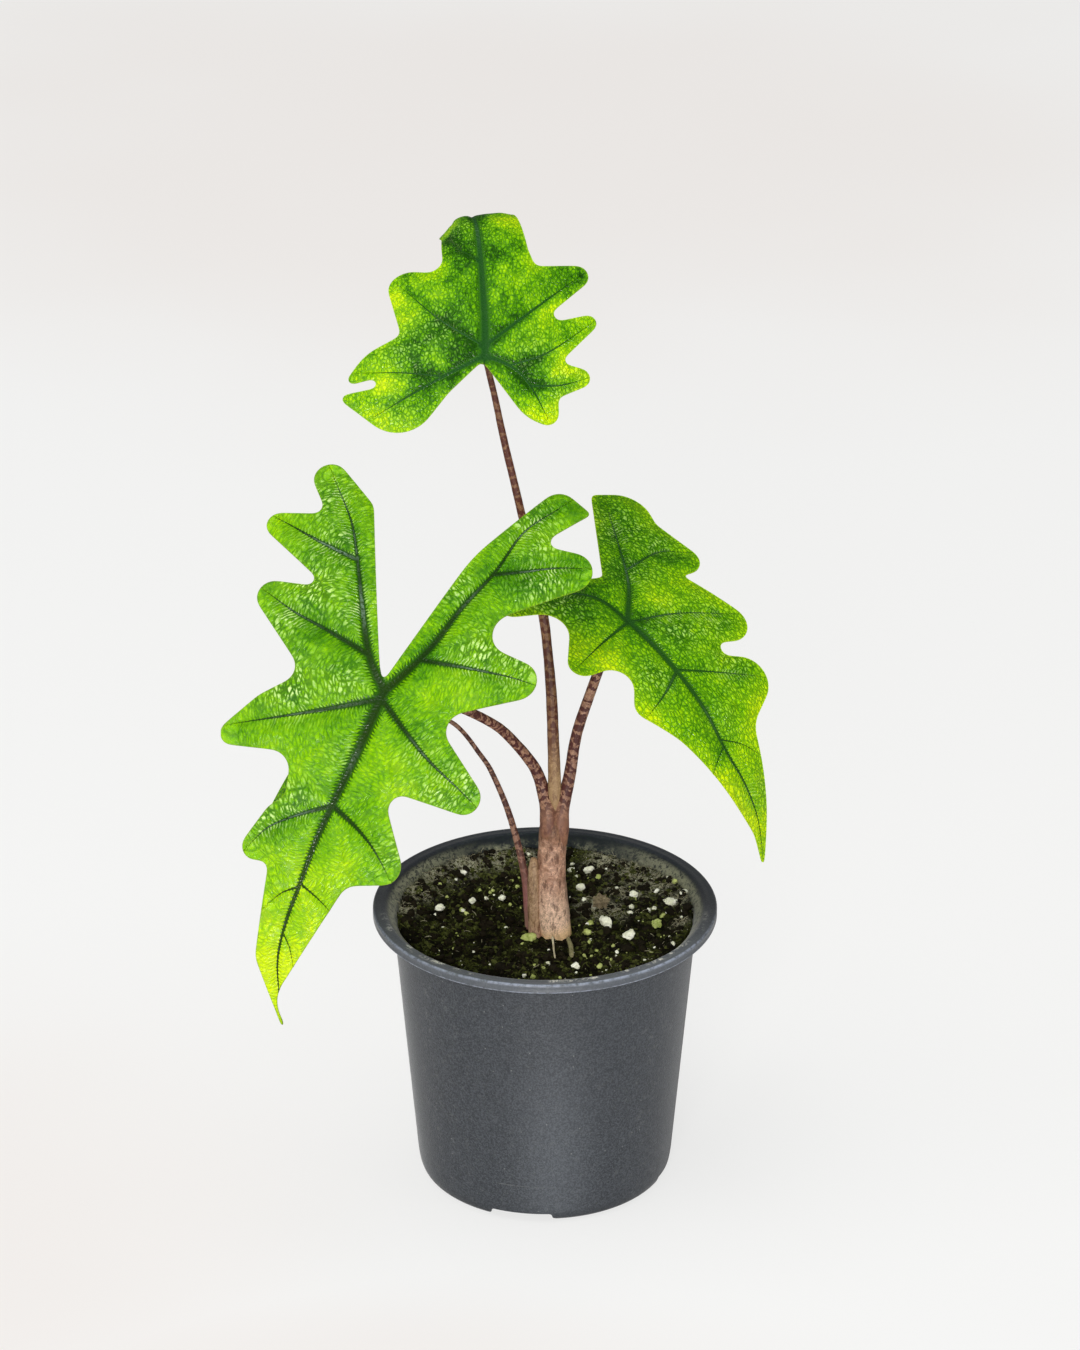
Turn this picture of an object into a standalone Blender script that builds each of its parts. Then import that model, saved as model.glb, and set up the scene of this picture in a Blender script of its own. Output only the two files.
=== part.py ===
"""Potted alocasia: a small lobed alocasia with four leaves, rooted in a plain round nursery pot.

Everything below is written in millimetres and scaled to metres where a mesh is made. The origin is the
centre of the pot's underside, +Z is up, and the plant's best side faces -Y.

A blade starts flat in leaf coordinates: v runs along the midrib from the petiole to the tip, and u runs
across it, to the right for someone who looks at the upper face with the tip pointing down. Its margin is
a belt drawn round circles, lobes on the inside of the belt and bays on the outside. The flat blade is
then bent along its midrib, folded across it, and carried to its place.
"""

import math
from dataclasses import dataclass

import bmesh
import bpy
import numpy as np
from mathutils import Matrix, Vector

MM = 0.001
GAP = 0.3  # left between two pieces that touch

# Pot, a 10.5 cm nursery pot
POT_HEIGHT = 89.5
RIM_RADIUS = 52.5
RIM_RING_WIDTH = 3.8
RIM_BAND_HEIGHT = 3.0
RIM_WALL = 1.0
WALL_TOP_RADIUS = 46.0
WALL_BOTTOM_RADIUS = 39.3
WALL_TOP_Z = 81.5
WALL_BOTTOM_Z = 6.0
WALL = 1.3
BASE_RADIUS = 36.9
FLOOR_TOP_Z = 4.2
POT_STEPS = 64

# Drainage: four channels across the underside, each with one hole in its roof
CHANNEL_COUNT = 4
CHANNEL_WIDTH = 19.0
CHANNEL_HEIGHT = 2.8
CHANNEL_START = 13.0
CHANNEL_TURN = math.radians(-101.0)  # the channel nearest the front is 11 degrees left of it
CHANNEL_ROUNDING = 1.8
DRAIN_RADIUS = 3.5
DRAIN_PLACE = 25.0

# Potting soil
SOIL_EDGE_Z = 83.3
SOIL_CROWN = 0.9  # how much higher the soil stands in the middle
SOIL_STEPS = 48

# Stem
STEM_FOOT_Z = 76.0
STEM_TOP_Z = 125.0
PETIOLE_FOOT_Z = STEM_TOP_Z + 0.45
STUB_FOOT_Z = 80.0
SMALL_FOOT_Z = 79.0

# Blades
BLADE_THICKNESS = 0.9
BLADE_CELL = 5.5
MARGIN_STEP = 2.4
MIDRIB_ROUNDING = 6.0  # half the width of the soft crease along the midrib
CROSS_SAMPLES = 16


@dataclass(frozen=True)
class Blade:
    """One leaf blade: where it hangs, how it bends, and its margin."""

    name: str
    junction: tuple  # where the petiole joins it
    tip: tuple  # direction of the midrib at the junction
    face: tuple  # direction that the upper face looks in
    bend: tuple  # (v, degrees the midrib has turned towards the face)
    fold: tuple  # (v, degrees the left half is raised, degrees the right half is raised)
    curl: tuple  # change of slope in radians per mm away from the midrib, left and right
    margin: tuple  # (u, v, radius) of each circle: a lobe's radius is positive, a bay's negative


FRONT_BLADE = Blade(
    name="blade_front",
    junction=(-47.1, -44.0, 182.1),
    tip=(-0.338, -0.597, -0.727),
    face=(-0.155, -0.727, 0.669),
    bend=((-90, 14), (-40, 6), (0, 0), (40, -10), (80, -22), (115, -30)),
    fold=((-80, 4, 4), (0, 10, 10), (60, 6, 6), (110, 12, 12)),
    curl=(-0.003, -0.003),
    margin=(
        (-1.5, -4.5, -1.0),
        (55.5, -29.0, 48.0),
        (29.0, -69.0, 5.5),
        (38.0, -70.5, 0.5),
        (33.0, -59.0, -2.5),
        (40.0, -50.5, 6.5),
        (31.5, -27.0, -6.5),
        (37.5, -13.5, 6.0),
        (28.0, 5.0, -5.5),
        (34.5, 23.5, 5.0),
        (17.5, 32.0, -4.0),
        (17.5, 49.0, 5.5),
        (13.0, 62.5, -6.0),
        (6.5, 94.0, -9.5),
        (0.5, 102.5, 0.5),
        (-5.0, 82.5, 7.5),
        (-18.0, 60.5, -2.5),
        (-21.0, 54.5, 4.0),
        (-20.0, 43.0, 1.0),
        (-19.2, 37.3, -2.0),
        (-24.0, 32.5, -6.0),
        (-38.0, 25.5, 3.5),
        (-28.5, 17.0, 7.0),
        (-31.5, 3.0, -5.0),
        (-40.5, -16.5, 5.0),
        (-33.0, -25.0, -2.0),
        (-47.5, -38.5, 4.0),
        (-40.0, -47.5, -2.5),
        (-39.0, -57.5, 5.0),
        (-26.5, -50.5, 4.0),
    ),
)

RIGHT_BLADE = Blade(
    name="blade_right",
    junction=(24.5, -6.0, 187.8),
    tip=(0.646, -0.646, -0.407),
    face=(0.288, -0.288, 0.914),
    bend=((-50, -6), (-20, 0), (0, 0), (20, -8), (45, -30), (70, -52), (100, -66)),
    fold=((-50, -4, 2), (0, -6, 6), (50, -4, 6), (90, 4, 4)),
    curl=(-0.006, -0.002),
    margin=(
        (5.0, -17.5, -0.5),
        (26.5, -43.5, 1.5),
        (30.0, -34.0, 9.0),
        (39.5, -26.5, -2.5),
        (32.5, -11.5, 6.5),
        (29.5, -4.5, -1.0),
        (27.5, 15.0, 7.0),
        (21.5, 23.0, -2.5),
        (20.0, 34.0, 8.0),
        (23.5, 52.0, -9.0),
        (-7.0, 68.5, 18.5),
        (7.5, 87.5, 0.5),
        (-3.0, 80.5, -8.5),
        (-36.0, 56.0, -28.0),
        (-14.5, 28.5, 5.0),
        (-21.0, 18.0, -6.5),
        (-22.5, 6.0, 5.0),
        (-25.5, -9.0, -7.5),
        (-26.5, -22.5, 4.0),
    ),
)

TOP_BLADE = Blade(
    name="blade_top",
    junction=(-17.5, 0.0, 269.1),
    tip=(-0.058, 0.667, 0.743),
    face=(0.065, -0.740, 0.669),
    bend=((-60, 24), (-20, 8), (0, 0), (32, -6), (44, -34), (58, -78), (82, -112)),
    fold=((-50, -6, -6), (0, -4, -4), (30, -4, -12), (48, 4, -44), (80, -10, -30)),
    curl=(-0.003, -0.003),
    margin=(
        (1.0, -2.5, -0.5),
        (3.0, -19.0, -11.5),
        (26.0, -10.5, 11.5),
        (41.0, -10.5, 1.5),
        (33.5, -6.5, -1.5),
        (39.0, -4.5, 1.5),
        (24.5, -9.5, 16.0),
        (26.5, 9.5, -2.0),
        (21.5, 24.0, 6.0),
        (15.0, 32.5, -4.0),
        (12.0, 55.5, 1.0),
        (12.0, 64.0, -6.0),
        (3.0, 86.0, 0.5),
        (-12.0, 66.0, -7.0),
        (-10.5, 58.0, 1.0),
        (-13.5, 52.0, -1.5),
        (-6.0, 32.0, 9.0),
        (-18.0, 30.5, -2.0),
        (-29.0, 25.5, 3.5),
        (-23.0, 13.0, -2.0),
        (-31.5, 10.5, 2.5),
        (-25.0, -1.5, -1.5),
        (-28.0, -7.0, 3.0),
        (-23.0, -14.5, -2.0),
        (-17.5, -18.0, 3.5),
        (-19.5, -8.5, 13.0),
    ),
)

SMALL_BLADE = Blade(
    name="blade_small",
    junction=(-52.2, -14.0, 159.8),
    tip=(-0.764, -0.196, -0.614),
    face=(-0.606, -0.105, 0.788),
    bend=((-30, 4), (0, 0), (30, -10), (60, -20)),
    fold=((-20, 4, 4), (20, 6, 6), (50, 8, 8)),
    curl=(-0.003, -0.003),
    margin=(
        (0.0, -3.5, -1.0),
        (9.5, -15.0, 4.5),
        (18.0, -4.5, -6.0),
        (14.0, 7.0, 4.5),
        (17.5, 19.5, -8.0),
        (7.5, 28.0, 4.0),
        (0.0, 55.5, 0.5),
        (-7.5, 28.0, 4.0),
        (-17.5, 19.5, -8.0),
        (-14.0, 7.0, 4.5),
        (-18.0, -4.5, -6.0),
        (-9.5, -15.0, 4.5),
    ),
)

BLADES = (FRONT_BLADE, RIGHT_BLADE, TOP_BLADE, SMALL_BLADE)

# Stems, as (x, y, z, radius) along the middle line, from the foot up
PSEUDOSTEM = (
    (3.4, -7.0, STEM_FOOT_Z, 4.4),
    (3.4, -7.0, 83.0, 5.2),
    (2.4, -7.0, 89.0, 5.5),
    (1.8, -6.8, 98.0, 5.2),
    (2.2, -6.5, 110.0, 4.7),
    (2.7, -6.5, 119.0, 4.7),
    (2.8, -6.4, STEM_TOP_Z, 4.9),
)
PETIOLE_FRONT = (
    (0.1, -5.0, PETIOLE_FOOT_Z, 2.0),
    (-0.4, -5.1, 130.0, 1.9),
    (-1.5, -5.5, 134.3, 1.8),
    (-3.6, -6.2, 139.5, 1.7),
    (-8.4, -8.5, 147.2, 1.6),
    (-14.9, -14.0, 156.5, 1.5),
    (-26.5, -25.0, 168.0, 1.4),
    (-37.5, -35.0, 175.9, 1.3),
    (-46.35, -42.6, 180.9, 1.2),
)
PETIOLE_TOP = (
    (2.9, -8.4, PETIOLE_FOOT_Z, 2.0),
    (2.8, -7.6, 137.0, 1.9),
    (2.4, -5.8, 149.3, 1.8),
    (1.9, -3.2, 161.3, 1.7),
    (0.9, -1.2, 173.5, 1.5),
    (-0.3, 0.8, 184.1, 1.5),
    (-3.0, 2.6, 198.0, 1.4),
    (-7.9, 4.0, 221.5, 1.2),
    (-12.1, 3.9, 240.7, 1.1),
    (-14.7, 3.2, 254.5, 1.0),
    (-17.4, 1.2, 267.5, 0.9),
)
PETIOLE_RIGHT = (
    (5.9, -5.0, PETIOLE_FOOT_Z, 1.9),
    (7.4, -5.0, 135.5, 1.8),
    (9.4, -5.0, 148.9, 1.7),
    (13.3, -5.0, 162.1, 1.6),
    (16.6, -5.2, 172.1, 1.5),
    (20.0, -5.5, 180.0, 1.3),
    (23.7, -6.1, 186.2, 1.1),
)
PETIOLE_SMALL = (
    (-4.6, -4.6, SMALL_FOOT_Z, 1.3),
    (-5.2, -4.5, 90.0, 1.3),
    (-6.4, -4.5, 103.2, 1.2),
    (-10.6, -4.5, 121.5, 1.0),
    (-15.6, -5.0, 135.5, 0.85),
    (-19.3, -5.8, 142.6, 0.75),
    (-26.9, -8.0, 153.8, 0.7),
    (-37.2, -10.5, 159.6, 0.7),
    (-46.0, -12.6, 160.4, 0.65),
    (-51.15, -13.9, 158.4, 0.6),
)
SHEATH_STUB = (
    (-4.5, -8.4, STUB_FOOT_Z, 1.1),
    (-4.7, -8.4, 88.0, 1.2),
    (-4.8, -8.2, 100.0, 1.2),
    (-4.3, -8.0, 109.0, 0.8),
)

# Loose things on the soil: name, x, y, and the size along x, y and z
PERLITE = (
    ("perlite_01", 18.4, -5.0, 4.8, 4.4, 4.0),
    ("perlite_02", 25.6, -13.0, 4.6, 4.0, 3.4),
    ("perlite_03", 38.6, 8.5, 4.8, 4.0, 3.4),
    ("perlite_04", 34.0, -4.5, 3.2, 3.0, 2.6),
    ("perlite_05", 12.6, -10.5, 3.2, 3.0, 2.6),
    ("perlite_06", -5.2, -13.5, 6.0, 3.4, 2.6),
    ("perlite_07", -13.2, 12.0, 3.0, 3.0, 2.4),
    ("perlite_08", -22.2, 10.6, 2.8, 2.6, 2.2),
    ("perlite_09", -32.0, 6.0, 3.4, 2.8, 2.2),
    ("perlite_10", 13.6, 31.5, 4.4, 3.4, 2.8),
    ("perlite_11", 11.2, 19.3, 3.4, 3.0, 2.4),
    ("perlite_12", 27.4, 15.3, 2.8, 2.6, 2.2),
    ("perlite_13", -25.6, 29.5, 3.0, 2.6, 2.2),
    ("perlite_14", 9.0, -31.0, 3.0, 2.6, 2.2),
)
BARK_CLUMP = ("bark_clump", 17.4, 6.4, 7.0, 7.4, 5.0)
TWIG = ((8.0, -25.5, 85.0, 0.8), (7.8, -20.0, 85.1, 0.8), (7.0, -14.6, 85.2, 0.7))
AERIAL_ROOT = ((3.0, -26.0, 84.7, 0.5), (3.1, -20.0, 84.8, 0.5), (3.3, -13.6, 85.2, 0.5))

COLOURS = {  # base colour, roughness
    "pot_plastic": ((0.055, 0.068, 0.082), 0.45),
    "peat": ((0.030, 0.026, 0.018), 0.95),
    "stem_skin": ((0.42, 0.22, 0.16), 0.55),
    "petiole_skin": ((0.36, 0.16, 0.12), 0.50),
    "leaf": ((0.20, 0.46, 0.02), 0.40),
    "perlite": ((0.80, 0.80, 0.68), 0.85),
    "bark": ((0.24, 0.17, 0.09), 0.90),
    "pale_root": ((0.78, 0.72, 0.58), 0.70),
}


def clear_scene():
    for obj in list(bpy.data.objects):
        bpy.data.objects.remove(obj, do_unlink=True)


def collection(name, hidden=False):
    made = bpy.data.collections.new(name)
    bpy.context.scene.collection.children.link(made)
    made.hide_render = hidden
    return made


def material(name):
    """The Principled material of this name, made once from COLOURS."""
    found = bpy.data.materials.get(name)
    if found:
        return found
    colour, roughness = COLOURS[name]
    made = bpy.data.materials.new(name)
    made.use_nodes = True
    shader = made.node_tree.nodes["Principled BSDF"]
    shader.inputs["Base Color"].default_value = (*colour, 1.0)
    shader.inputs["Roughness"].default_value = roughness
    shader.inputs["Metallic"].default_value = 0.0
    made.diffuse_color = (*colour, 1.0)
    return made


def place(name, mesh, group, skin=None):
    """A new object of this mesh in the group, with its material."""
    made = bpy.data.objects.new(name, mesh)
    group.objects.link(made)
    if skin:
        mesh.materials.append(material(skin))
        mesh.shade_smooth()
    return made


def mesh_from(bm, name):
    mesh = bpy.data.meshes.new(name)
    bm.to_mesh(mesh)
    bm.free()
    return mesh


def hide_cutter(obj):
    obj.hide_render = True
    obj.display_type = "WIRE"


def cut(obj, cutter):
    """Cuts the cutter's shape out of the object."""
    boolean = obj.modifiers.new("cut_" + cutter.name, "BOOLEAN")
    boolean.operation = "DIFFERENCE"
    boolean.object = cutter
    boolean.solver = "EXACT"


def turned(name, profile, steps, group, skin):
    """The profile, (radius, z) from the axis round to the axis, turned about Z.

    It runs from the upper end of the axis out and down the outer side to the lower end.
    """
    bm = bmesh.new()
    rail = [bm.verts.new((radius * MM, 0, z * MM)) for radius, z in profile]
    for first, second in zip(rail, rail[1:]):
        bm.edges.new((first, second))
    obj = place(name, mesh_from(bm, name), group, skin)
    screw = obj.modifiers.new("turn", "SCREW")
    screw.axis = "Z"
    screw.steps = screw.render_steps = steps
    screw.use_merge_vertices = True
    screw.merge_threshold = 0.00001
    screw.use_smooth_shade = True
    return obj


def tube(name, points, group, skin, extra=0.0, roundness=2):
    """A round stem through the points, each with its own radius, closed at both ends."""
    data = bpy.data.curves.new(name, "CURVE")
    data.dimensions = "3D"
    data.bevel_depth = MM
    data.bevel_resolution = roundness
    data.use_fill_caps = True
    data.resolution_u = 3
    data.twist_mode = "MINIMUM"
    spline = data.splines.new("BEZIER")
    spline.bezier_points.add(len(points) - 1)
    for point, (x, y, z, radius) in zip(spline.bezier_points, points):
        point.co = Vector((x, y, z)) * MM
        point.radius = radius + extra
        point.handle_left_type = point.handle_right_type = "AUTO"
    made = bpy.data.objects.new(name, data)
    group.objects.link(made)
    if skin:
        data.materials.append(material(skin))
    return made


def as_mesh(obj):
    """The curve object made a closed mesh object in its place."""
    graph = bpy.context.evaluated_depsgraph_get()
    mesh = bpy.data.meshes.new_from_object(obj.evaluated_get(graph))
    bm = bmesh.new()
    bm.from_mesh(mesh)
    bmesh.ops.remove_doubles(bm, verts=bm.verts, dist=0.01 * MM)
    bmesh.ops.recalc_face_normals(bm, faces=bm.faces)
    bm.to_mesh(mesh)
    bm.free()
    made = bpy.data.objects.new(obj.name + "_solid", mesh)
    made.matrix_world = obj.matrix_world
    obj.users_collection[0].objects.link(made)
    bpy.data.objects.remove(obj, do_unlink=True)
    return made


# Pot


def wall_radius(z):
    """Outer radius of the pot's wall at this height."""
    share = (z - WALL_BOTTOM_Z) / (WALL_TOP_Z - WALL_BOTTOM_Z)
    return WALL_BOTTOM_RADIUS + (WALL_TOP_RADIUS - WALL_BOTTOM_RADIUS) * share


def pot_profile():
    """(radius, z) from the floor's middle up the inside, over the rim, and down to the underside's middle."""
    ring_inner = RIM_RADIUS - RIM_RING_WIDTH
    under_rim = POT_HEIGHT - RIM_BAND_HEIGHT
    neck_z = under_rim - 2.5
    return (
        (0.0, FLOOR_TOP_Z),
        (wall_radius(FLOOR_TOP_Z) - WALL - 2.0, FLOOR_TOP_Z),
        (wall_radius(6.0) - WALL, 6.0),
        (wall_radius(neck_z) - WALL, neck_z),
        (wall_radius(neck_z) - WALL + 0.9, neck_z + 2.4),
        (ring_inner - 0.7, POT_HEIGHT - 0.9),
        (ring_inner + 0.3, POT_HEIGHT),
        (RIM_RADIUS - 0.5, POT_HEIGHT),
        (RIM_RADIUS, POT_HEIGHT - 0.5),
        (RIM_RADIUS, under_rim + 0.3),
        (RIM_RADIUS - 0.3, under_rim),
        (RIM_RADIUS - RIM_WALL, under_rim),
        (RIM_RADIUS - RIM_WALL - 0.2, POT_HEIGHT - 1.2),
        (ring_inner + 0.3, POT_HEIGHT - 1.6),
        (wall_radius(neck_z) + 0.9, neck_z + 2.0),
        (wall_radius(neck_z), neck_z),
        (wall_radius(6.0), 6.0),
        (wall_radius(3.0) - 0.2, 3.0),
        (BASE_RADIUS + 1.2, 1.1),
        (BASE_RADIUS, 0.0),
        (0.0, 0.0),
    )


def channel_cutter(index, group):
    """A flat-roofed channel with rounded shoulders, from near the middle out through the edge."""
    length = RIM_RADIUS - CHANNEL_START
    bm = bmesh.new()
    bmesh.ops.create_cube(bm, size=1.0)
    bmesh.ops.scale(bm, verts=bm.verts, vec=(length, CHANNEL_WIDTH, 2 * CHANNEL_HEIGHT))
    shoulders = [
        edge for edge in bm.edges
        if all(vert.co.z > 0 for vert in edge.verts) and abs(edge.verts[0].co.y - edge.verts[1].co.y) < 0.1
    ]
    bmesh.ops.bevel(
        bm, geom=shoulders, offset=CHANNEL_ROUNDING, segments=3, profile=0.5, affect="EDGES"
    )
    bmesh.ops.translate(bm, verts=bm.verts, vec=(CHANNEL_START + length / 2, 0, 0))
    bmesh.ops.scale(bm, verts=bm.verts, vec=(MM, MM, MM))
    bmesh.ops.recalc_face_normals(bm, faces=bm.faces)
    name = f"channel_{index + 1}"
    cutter = place(name, mesh_from(bm, name), group)
    cutter.rotation_euler.z = CHANNEL_TURN + index * math.tau / CHANNEL_COUNT
    hide_cutter(cutter)
    return cutter


def drain_cutter(index, group):
    """A round hole through the floor above one channel."""
    bm = bmesh.new()
    bmesh.ops.create_cone(
        bm, cap_ends=True, segments=20, radius1=DRAIN_RADIUS * MM, radius2=DRAIN_RADIUS * MM, depth=6 * MM
    )
    name = f"drain_{index + 1}"
    cutter = place(name, mesh_from(bm, name), group)
    turn = CHANNEL_TURN + index * math.tau / CHANNEL_COUNT
    cutter.location = Vector((math.cos(turn), math.sin(turn), 0)) * DRAIN_PLACE * MM
    cutter.location.z = FLOOR_TOP_Z * MM
    hide_cutter(cutter)
    return cutter


def build_pot(group, cutters):
    pot = turned("pot", pot_profile(), POT_STEPS, group, "pot_plastic")
    for index in range(CHANNEL_COUNT):
        cut(pot, channel_cutter(index, cutters))
        cut(pot, drain_cutter(index, cutters))
    return pot


# Soil


def soil_height(x, y):
    """Height of the soil's surface at this place."""
    share = min(1.0, math.hypot(x, y) / wall_radius(SOIL_EDGE_Z))
    return SOIL_EDGE_Z + SOIL_CROWN * (1 - share * share)


def build_soil(group):
    top = [(radius, soil_height(radius, 0)) for radius in (0.0, 10.0, 20.0, 30.0, 38.0)]
    side = [
        (wall_radius(z) - WALL - GAP, z) for z in (SOIL_EDGE_Z, 60.0, 30.0, 7.0)
    ]
    foot = (wall_radius(FLOOR_TOP_Z) - WALL - 3.0, FLOOR_TOP_Z + GAP)
    return turned("potting_soil", (*top, *side, foot, (0.0, FLOOR_TOP_Z + GAP)), SOIL_STEPS, group, "peat")


# Stems


def build_stems(group, cutters, soil):
    """The pseudostem, the four petioles and the old sheath's stub; what is rooted gets its hole in the soil."""
    tube("pseudostem", PSEUDOSTEM, group, "stem_skin", roundness=5)
    tube("petiole_front", PETIOLE_FRONT, group, "petiole_skin")
    tube("petiole_top", PETIOLE_TOP, group, "petiole_skin")
    tube("petiole_right", PETIOLE_RIGHT, group, "petiole_skin")
    tube("petiole_small", PETIOLE_SMALL, group, "petiole_skin")
    tube("old_sheath_stub", SHEATH_STUB, group, "stem_skin")
    for name, points in (("stem", PSEUDOSTEM), ("small", PETIOLE_SMALL), ("stub", SHEATH_STUB)):
        x, y, z, radius = points[0]
        lowered = ((x, y, z - GAP, radius), *points[1:4])
        cutter = as_mesh(tube("root_hole_" + name, lowered, cutters, None, extra=GAP + 0.1, roundness=5))
        hide_cutter(cutter)
        cut(soil, cutter)


# Blades


def smooth_profile(v, stations, column):
    """A column of the stations read at v, straight between them with softened corners."""
    table = np.array(stations, float)
    read = 0.0
    for offset, weight in ((-8.0, 0.1), (-4.0, 0.2), (0.0, 0.4), (4.0, 0.2), (8.0, 0.1)):
        read = read + weight * np.interp(v + offset, table[:, 0], table[:, column])
    return read


def midrib_line(blade, v):
    """How far the midrib has gone forwards and towards the face at v, and its turn there in radians."""
    steps = np.arange(-150.0, 201.0)
    turn = np.radians(smooth_profile(steps, blade.bend, 1))
    forward = np.concatenate([[0.0], np.cumsum((np.cos(turn[1:]) + np.cos(turn[:-1])) / 2)])
    raised = np.concatenate([[0.0], np.cumsum((np.sin(turn[1:]) + np.sin(turn[:-1])) / 2)])
    start = int(np.argmin(abs(steps)))
    return (
        np.interp(v, steps, forward - forward[start]),
        np.interp(v, steps, raised - raised[start]),
        np.interp(v, steps, turn),
    )


def on_blade(blade, u, v):
    """The places on the upper face at leaf coordinates u and v, as an array of (x, y, z)."""
    tip = np.array(blade.tip) / np.linalg.norm(blade.tip)
    face = np.array(blade.face) - np.dot(blade.face, tip) * tip
    face /= np.linalg.norm(face)
    across = np.cross(face, tip)
    right = u > 0
    lift = np.radians(np.where(right, smooth_profile(v, blade.fold, 2), smooth_profile(v, blade.fold, 1)))
    curl = np.where(right, blade.curl[1], blade.curl[0])
    level, height = 0.0, 0.0
    for sample in (np.arange(CROSS_SAMPLES) + 0.5) / CROSS_SAMPLES:
        distance = abs(u) * sample
        eased = np.clip(distance / MIDRIB_ROUNDING, 0, 1)
        slope = lift * eased * eased * (3 - 2 * eased) + curl * distance
        level = level + np.cos(slope) / CROSS_SAMPLES
        height = height + np.sin(slope) / CROSS_SAMPLES
    forward, raised, turn = midrib_line(blade, v)
    normal = -np.sin(turn)[:, None] * tip + np.cos(turn)[:, None] * face
    return (
        np.array(blade.junction)
        + forward[:, None] * tip
        + raised[:, None] * face
        + (level * u)[:, None] * across
        + (height * abs(u))[:, None] * normal
    )


def belt(circles):
    """Points along a belt that runs round the circles in turn, outside lobes and inside bays."""
    circles = [Vector(circle) for circle in circles]
    headings = []
    for here, after in zip(circles, circles[1:] + circles[:1]):
        step = (after - here).to_2d()
        headings.append(math.atan2(step.y, step.x) + math.asin((here.z - after.z) / step.length))
    points = []
    for index, circle in enumerate(circles):
        start, end = headings[index - 1], headings[index]
        side = math.copysign(1.0, circle.z)
        turn = side * ((side * (end - start) + 0.8) % math.tau - 0.8)
        count = max(2, int(abs(turn * circle.z) / 0.5) + 2)
        for heading in np.linspace(start, start + turn, count):
            points.append((circle.x + circle.z * math.sin(heading), circle.y - circle.z * math.cos(heading)))
    return np.array(points)


def evenly(points, step):
    """The closed line through the points, divided into equal steps and slightly softened."""
    closed = np.vstack([points, points[:1]])
    along = np.concatenate([[0.0], np.cumsum(np.linalg.norm(np.diff(closed, axis=0), axis=1))])
    marks = np.arange(round(along[-1] / step)) * step
    line = np.column_stack([np.interp(marks, along, closed[:, axis]) for axis in (0, 1)])
    return (np.roll(line, 1, 0) + 4 * line + np.roll(line, -1, 0)) / 6


def flat_sheet(name, line, cell):
    """A flat bmesh of the area inside the line, cut into cells so that it can bend."""
    data = bpy.data.curves.new(name, "CURVE")
    data.dimensions = "2D"
    data.fill_mode = "BOTH"
    spline = data.splines.new("POLY")
    spline.points.add(len(line) - 1)
    for point, (u, v) in zip(spline.points, line):
        point.co = (u * MM, v * MM, 0, 1)
    spline.use_cyclic_u = True
    guide = bpy.data.objects.new(name, data)
    bpy.context.scene.collection.objects.link(guide)
    graph = bpy.context.evaluated_depsgraph_get()
    filled = bpy.data.meshes.new_from_object(guide.evaluated_get(graph))
    bpy.data.objects.remove(guide, do_unlink=True)
    bm = bmesh.new()
    bm.from_mesh(filled)
    bpy.data.meshes.remove(filled)
    bmesh.ops.remove_doubles(bm, verts=bm.verts, dist=0.01 * MM)
    bmesh.ops.dissolve_faces(bm, faces=bm.faces)
    for axis in (0, 1):
        low = math.floor(line[:, axis].min() / cell) * cell
        normal = Vector((1, 0, 0)) if axis == 0 else Vector((0, 1, 0))
        for mark in np.arange(low + cell / 2, line[:, axis].max(), cell):
            bmesh.ops.bisect_plane(
                bm, geom=[*bm.verts, *bm.edges, *bm.faces], dist=0.02 * MM,
                plane_co=normal * float(mark) * MM, plane_no=normal,
            )
    bmesh.ops.triangulate(bm, faces=bm.faces, quad_method="BEAUTY", ngon_method="BEAUTY")
    return bm


def build_blade(blade, group):
    """The blade as a bent sheet, its thickness on the underside."""
    bm = flat_sheet(blade.name, evenly(belt(blade.margin), MARGIN_STEP), BLADE_CELL)
    flat = np.array([vert.co[:2] for vert in bm.verts]) / MM
    for vert, spot in zip(bm.verts, on_blade(blade, flat[:, 0], flat[:, 1])):
        vert.co = Vector(spot) * MM
    bmesh.ops.reverse_faces(bm, faces=bm.faces)  # u and v turn the other way round once the sheet is bent
    obj = place(blade.name, mesh_from(bm, blade.name), group, "leaf")
    shell = obj.modifiers.new("thickness", "SOLIDIFY")
    shell.thickness = BLADE_THICKNESS * MM
    shell.offset = -1.0
    return obj


# Loose pieces


def build_lump(name, x, y, size, group, skin):
    """An angular lump that rests on the soil."""
    bm = bmesh.new()
    bmesh.ops.create_icosphere(bm, subdivisions=1, radius=0.5)
    seed = sum(ord(letter) for letter in name)
    for index, vert in enumerate(bm.verts):
        vert.co *= 1 + 0.16 * math.sin(seed + 2.4 * index * (index + 3))
    bmesh.ops.scale(bm, verts=bm.verts, vec=Vector(size) * MM)
    lowest = min(vert.co.z for vert in bm.verts)
    rest = soil_height(x, y) + GAP
    bmesh.ops.translate(bm, verts=bm.verts, vec=Vector((x * MM, y * MM, rest * MM - lowest)))
    return place(name, mesh_from(bm, name), group, skin)


def build_loose(group):
    for name, x, y, *size in PERLITE:
        build_lump(name, x, y, size, group, "perlite")
    name, x, y, *size = BARK_CLUMP
    build_lump(name, x, y, size, group, "bark")
    tube("twig", TWIG, group, "bark")
    tube("aerial_root", AERIAL_ROOT, group, "pale_root")


def main():
    clear_scene()
    plant = collection("potted_alocasia")
    cutters = collection("cutters", hidden=True)
    build_pot(plant, cutters)
    soil = build_soil(plant)
    build_stems(plant, cutters, soil)
    for blade in BLADES:
        build_blade(blade, plant)
    build_loose(plant)


if __name__ == "__main__":
    main()
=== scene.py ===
"""Potted alocasia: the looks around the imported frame.

A young alocasia with four lobed leaves stands in a round nursery pot of peat. Every length below is in
millimetres and is scaled to metres where a mesh is made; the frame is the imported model's own. A leaf is
drawn flat, on its plan, where v runs from the stalk to the tip along the midrib and u runs across it, and
is then bent onto the same surface as its solid.
"""

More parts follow.
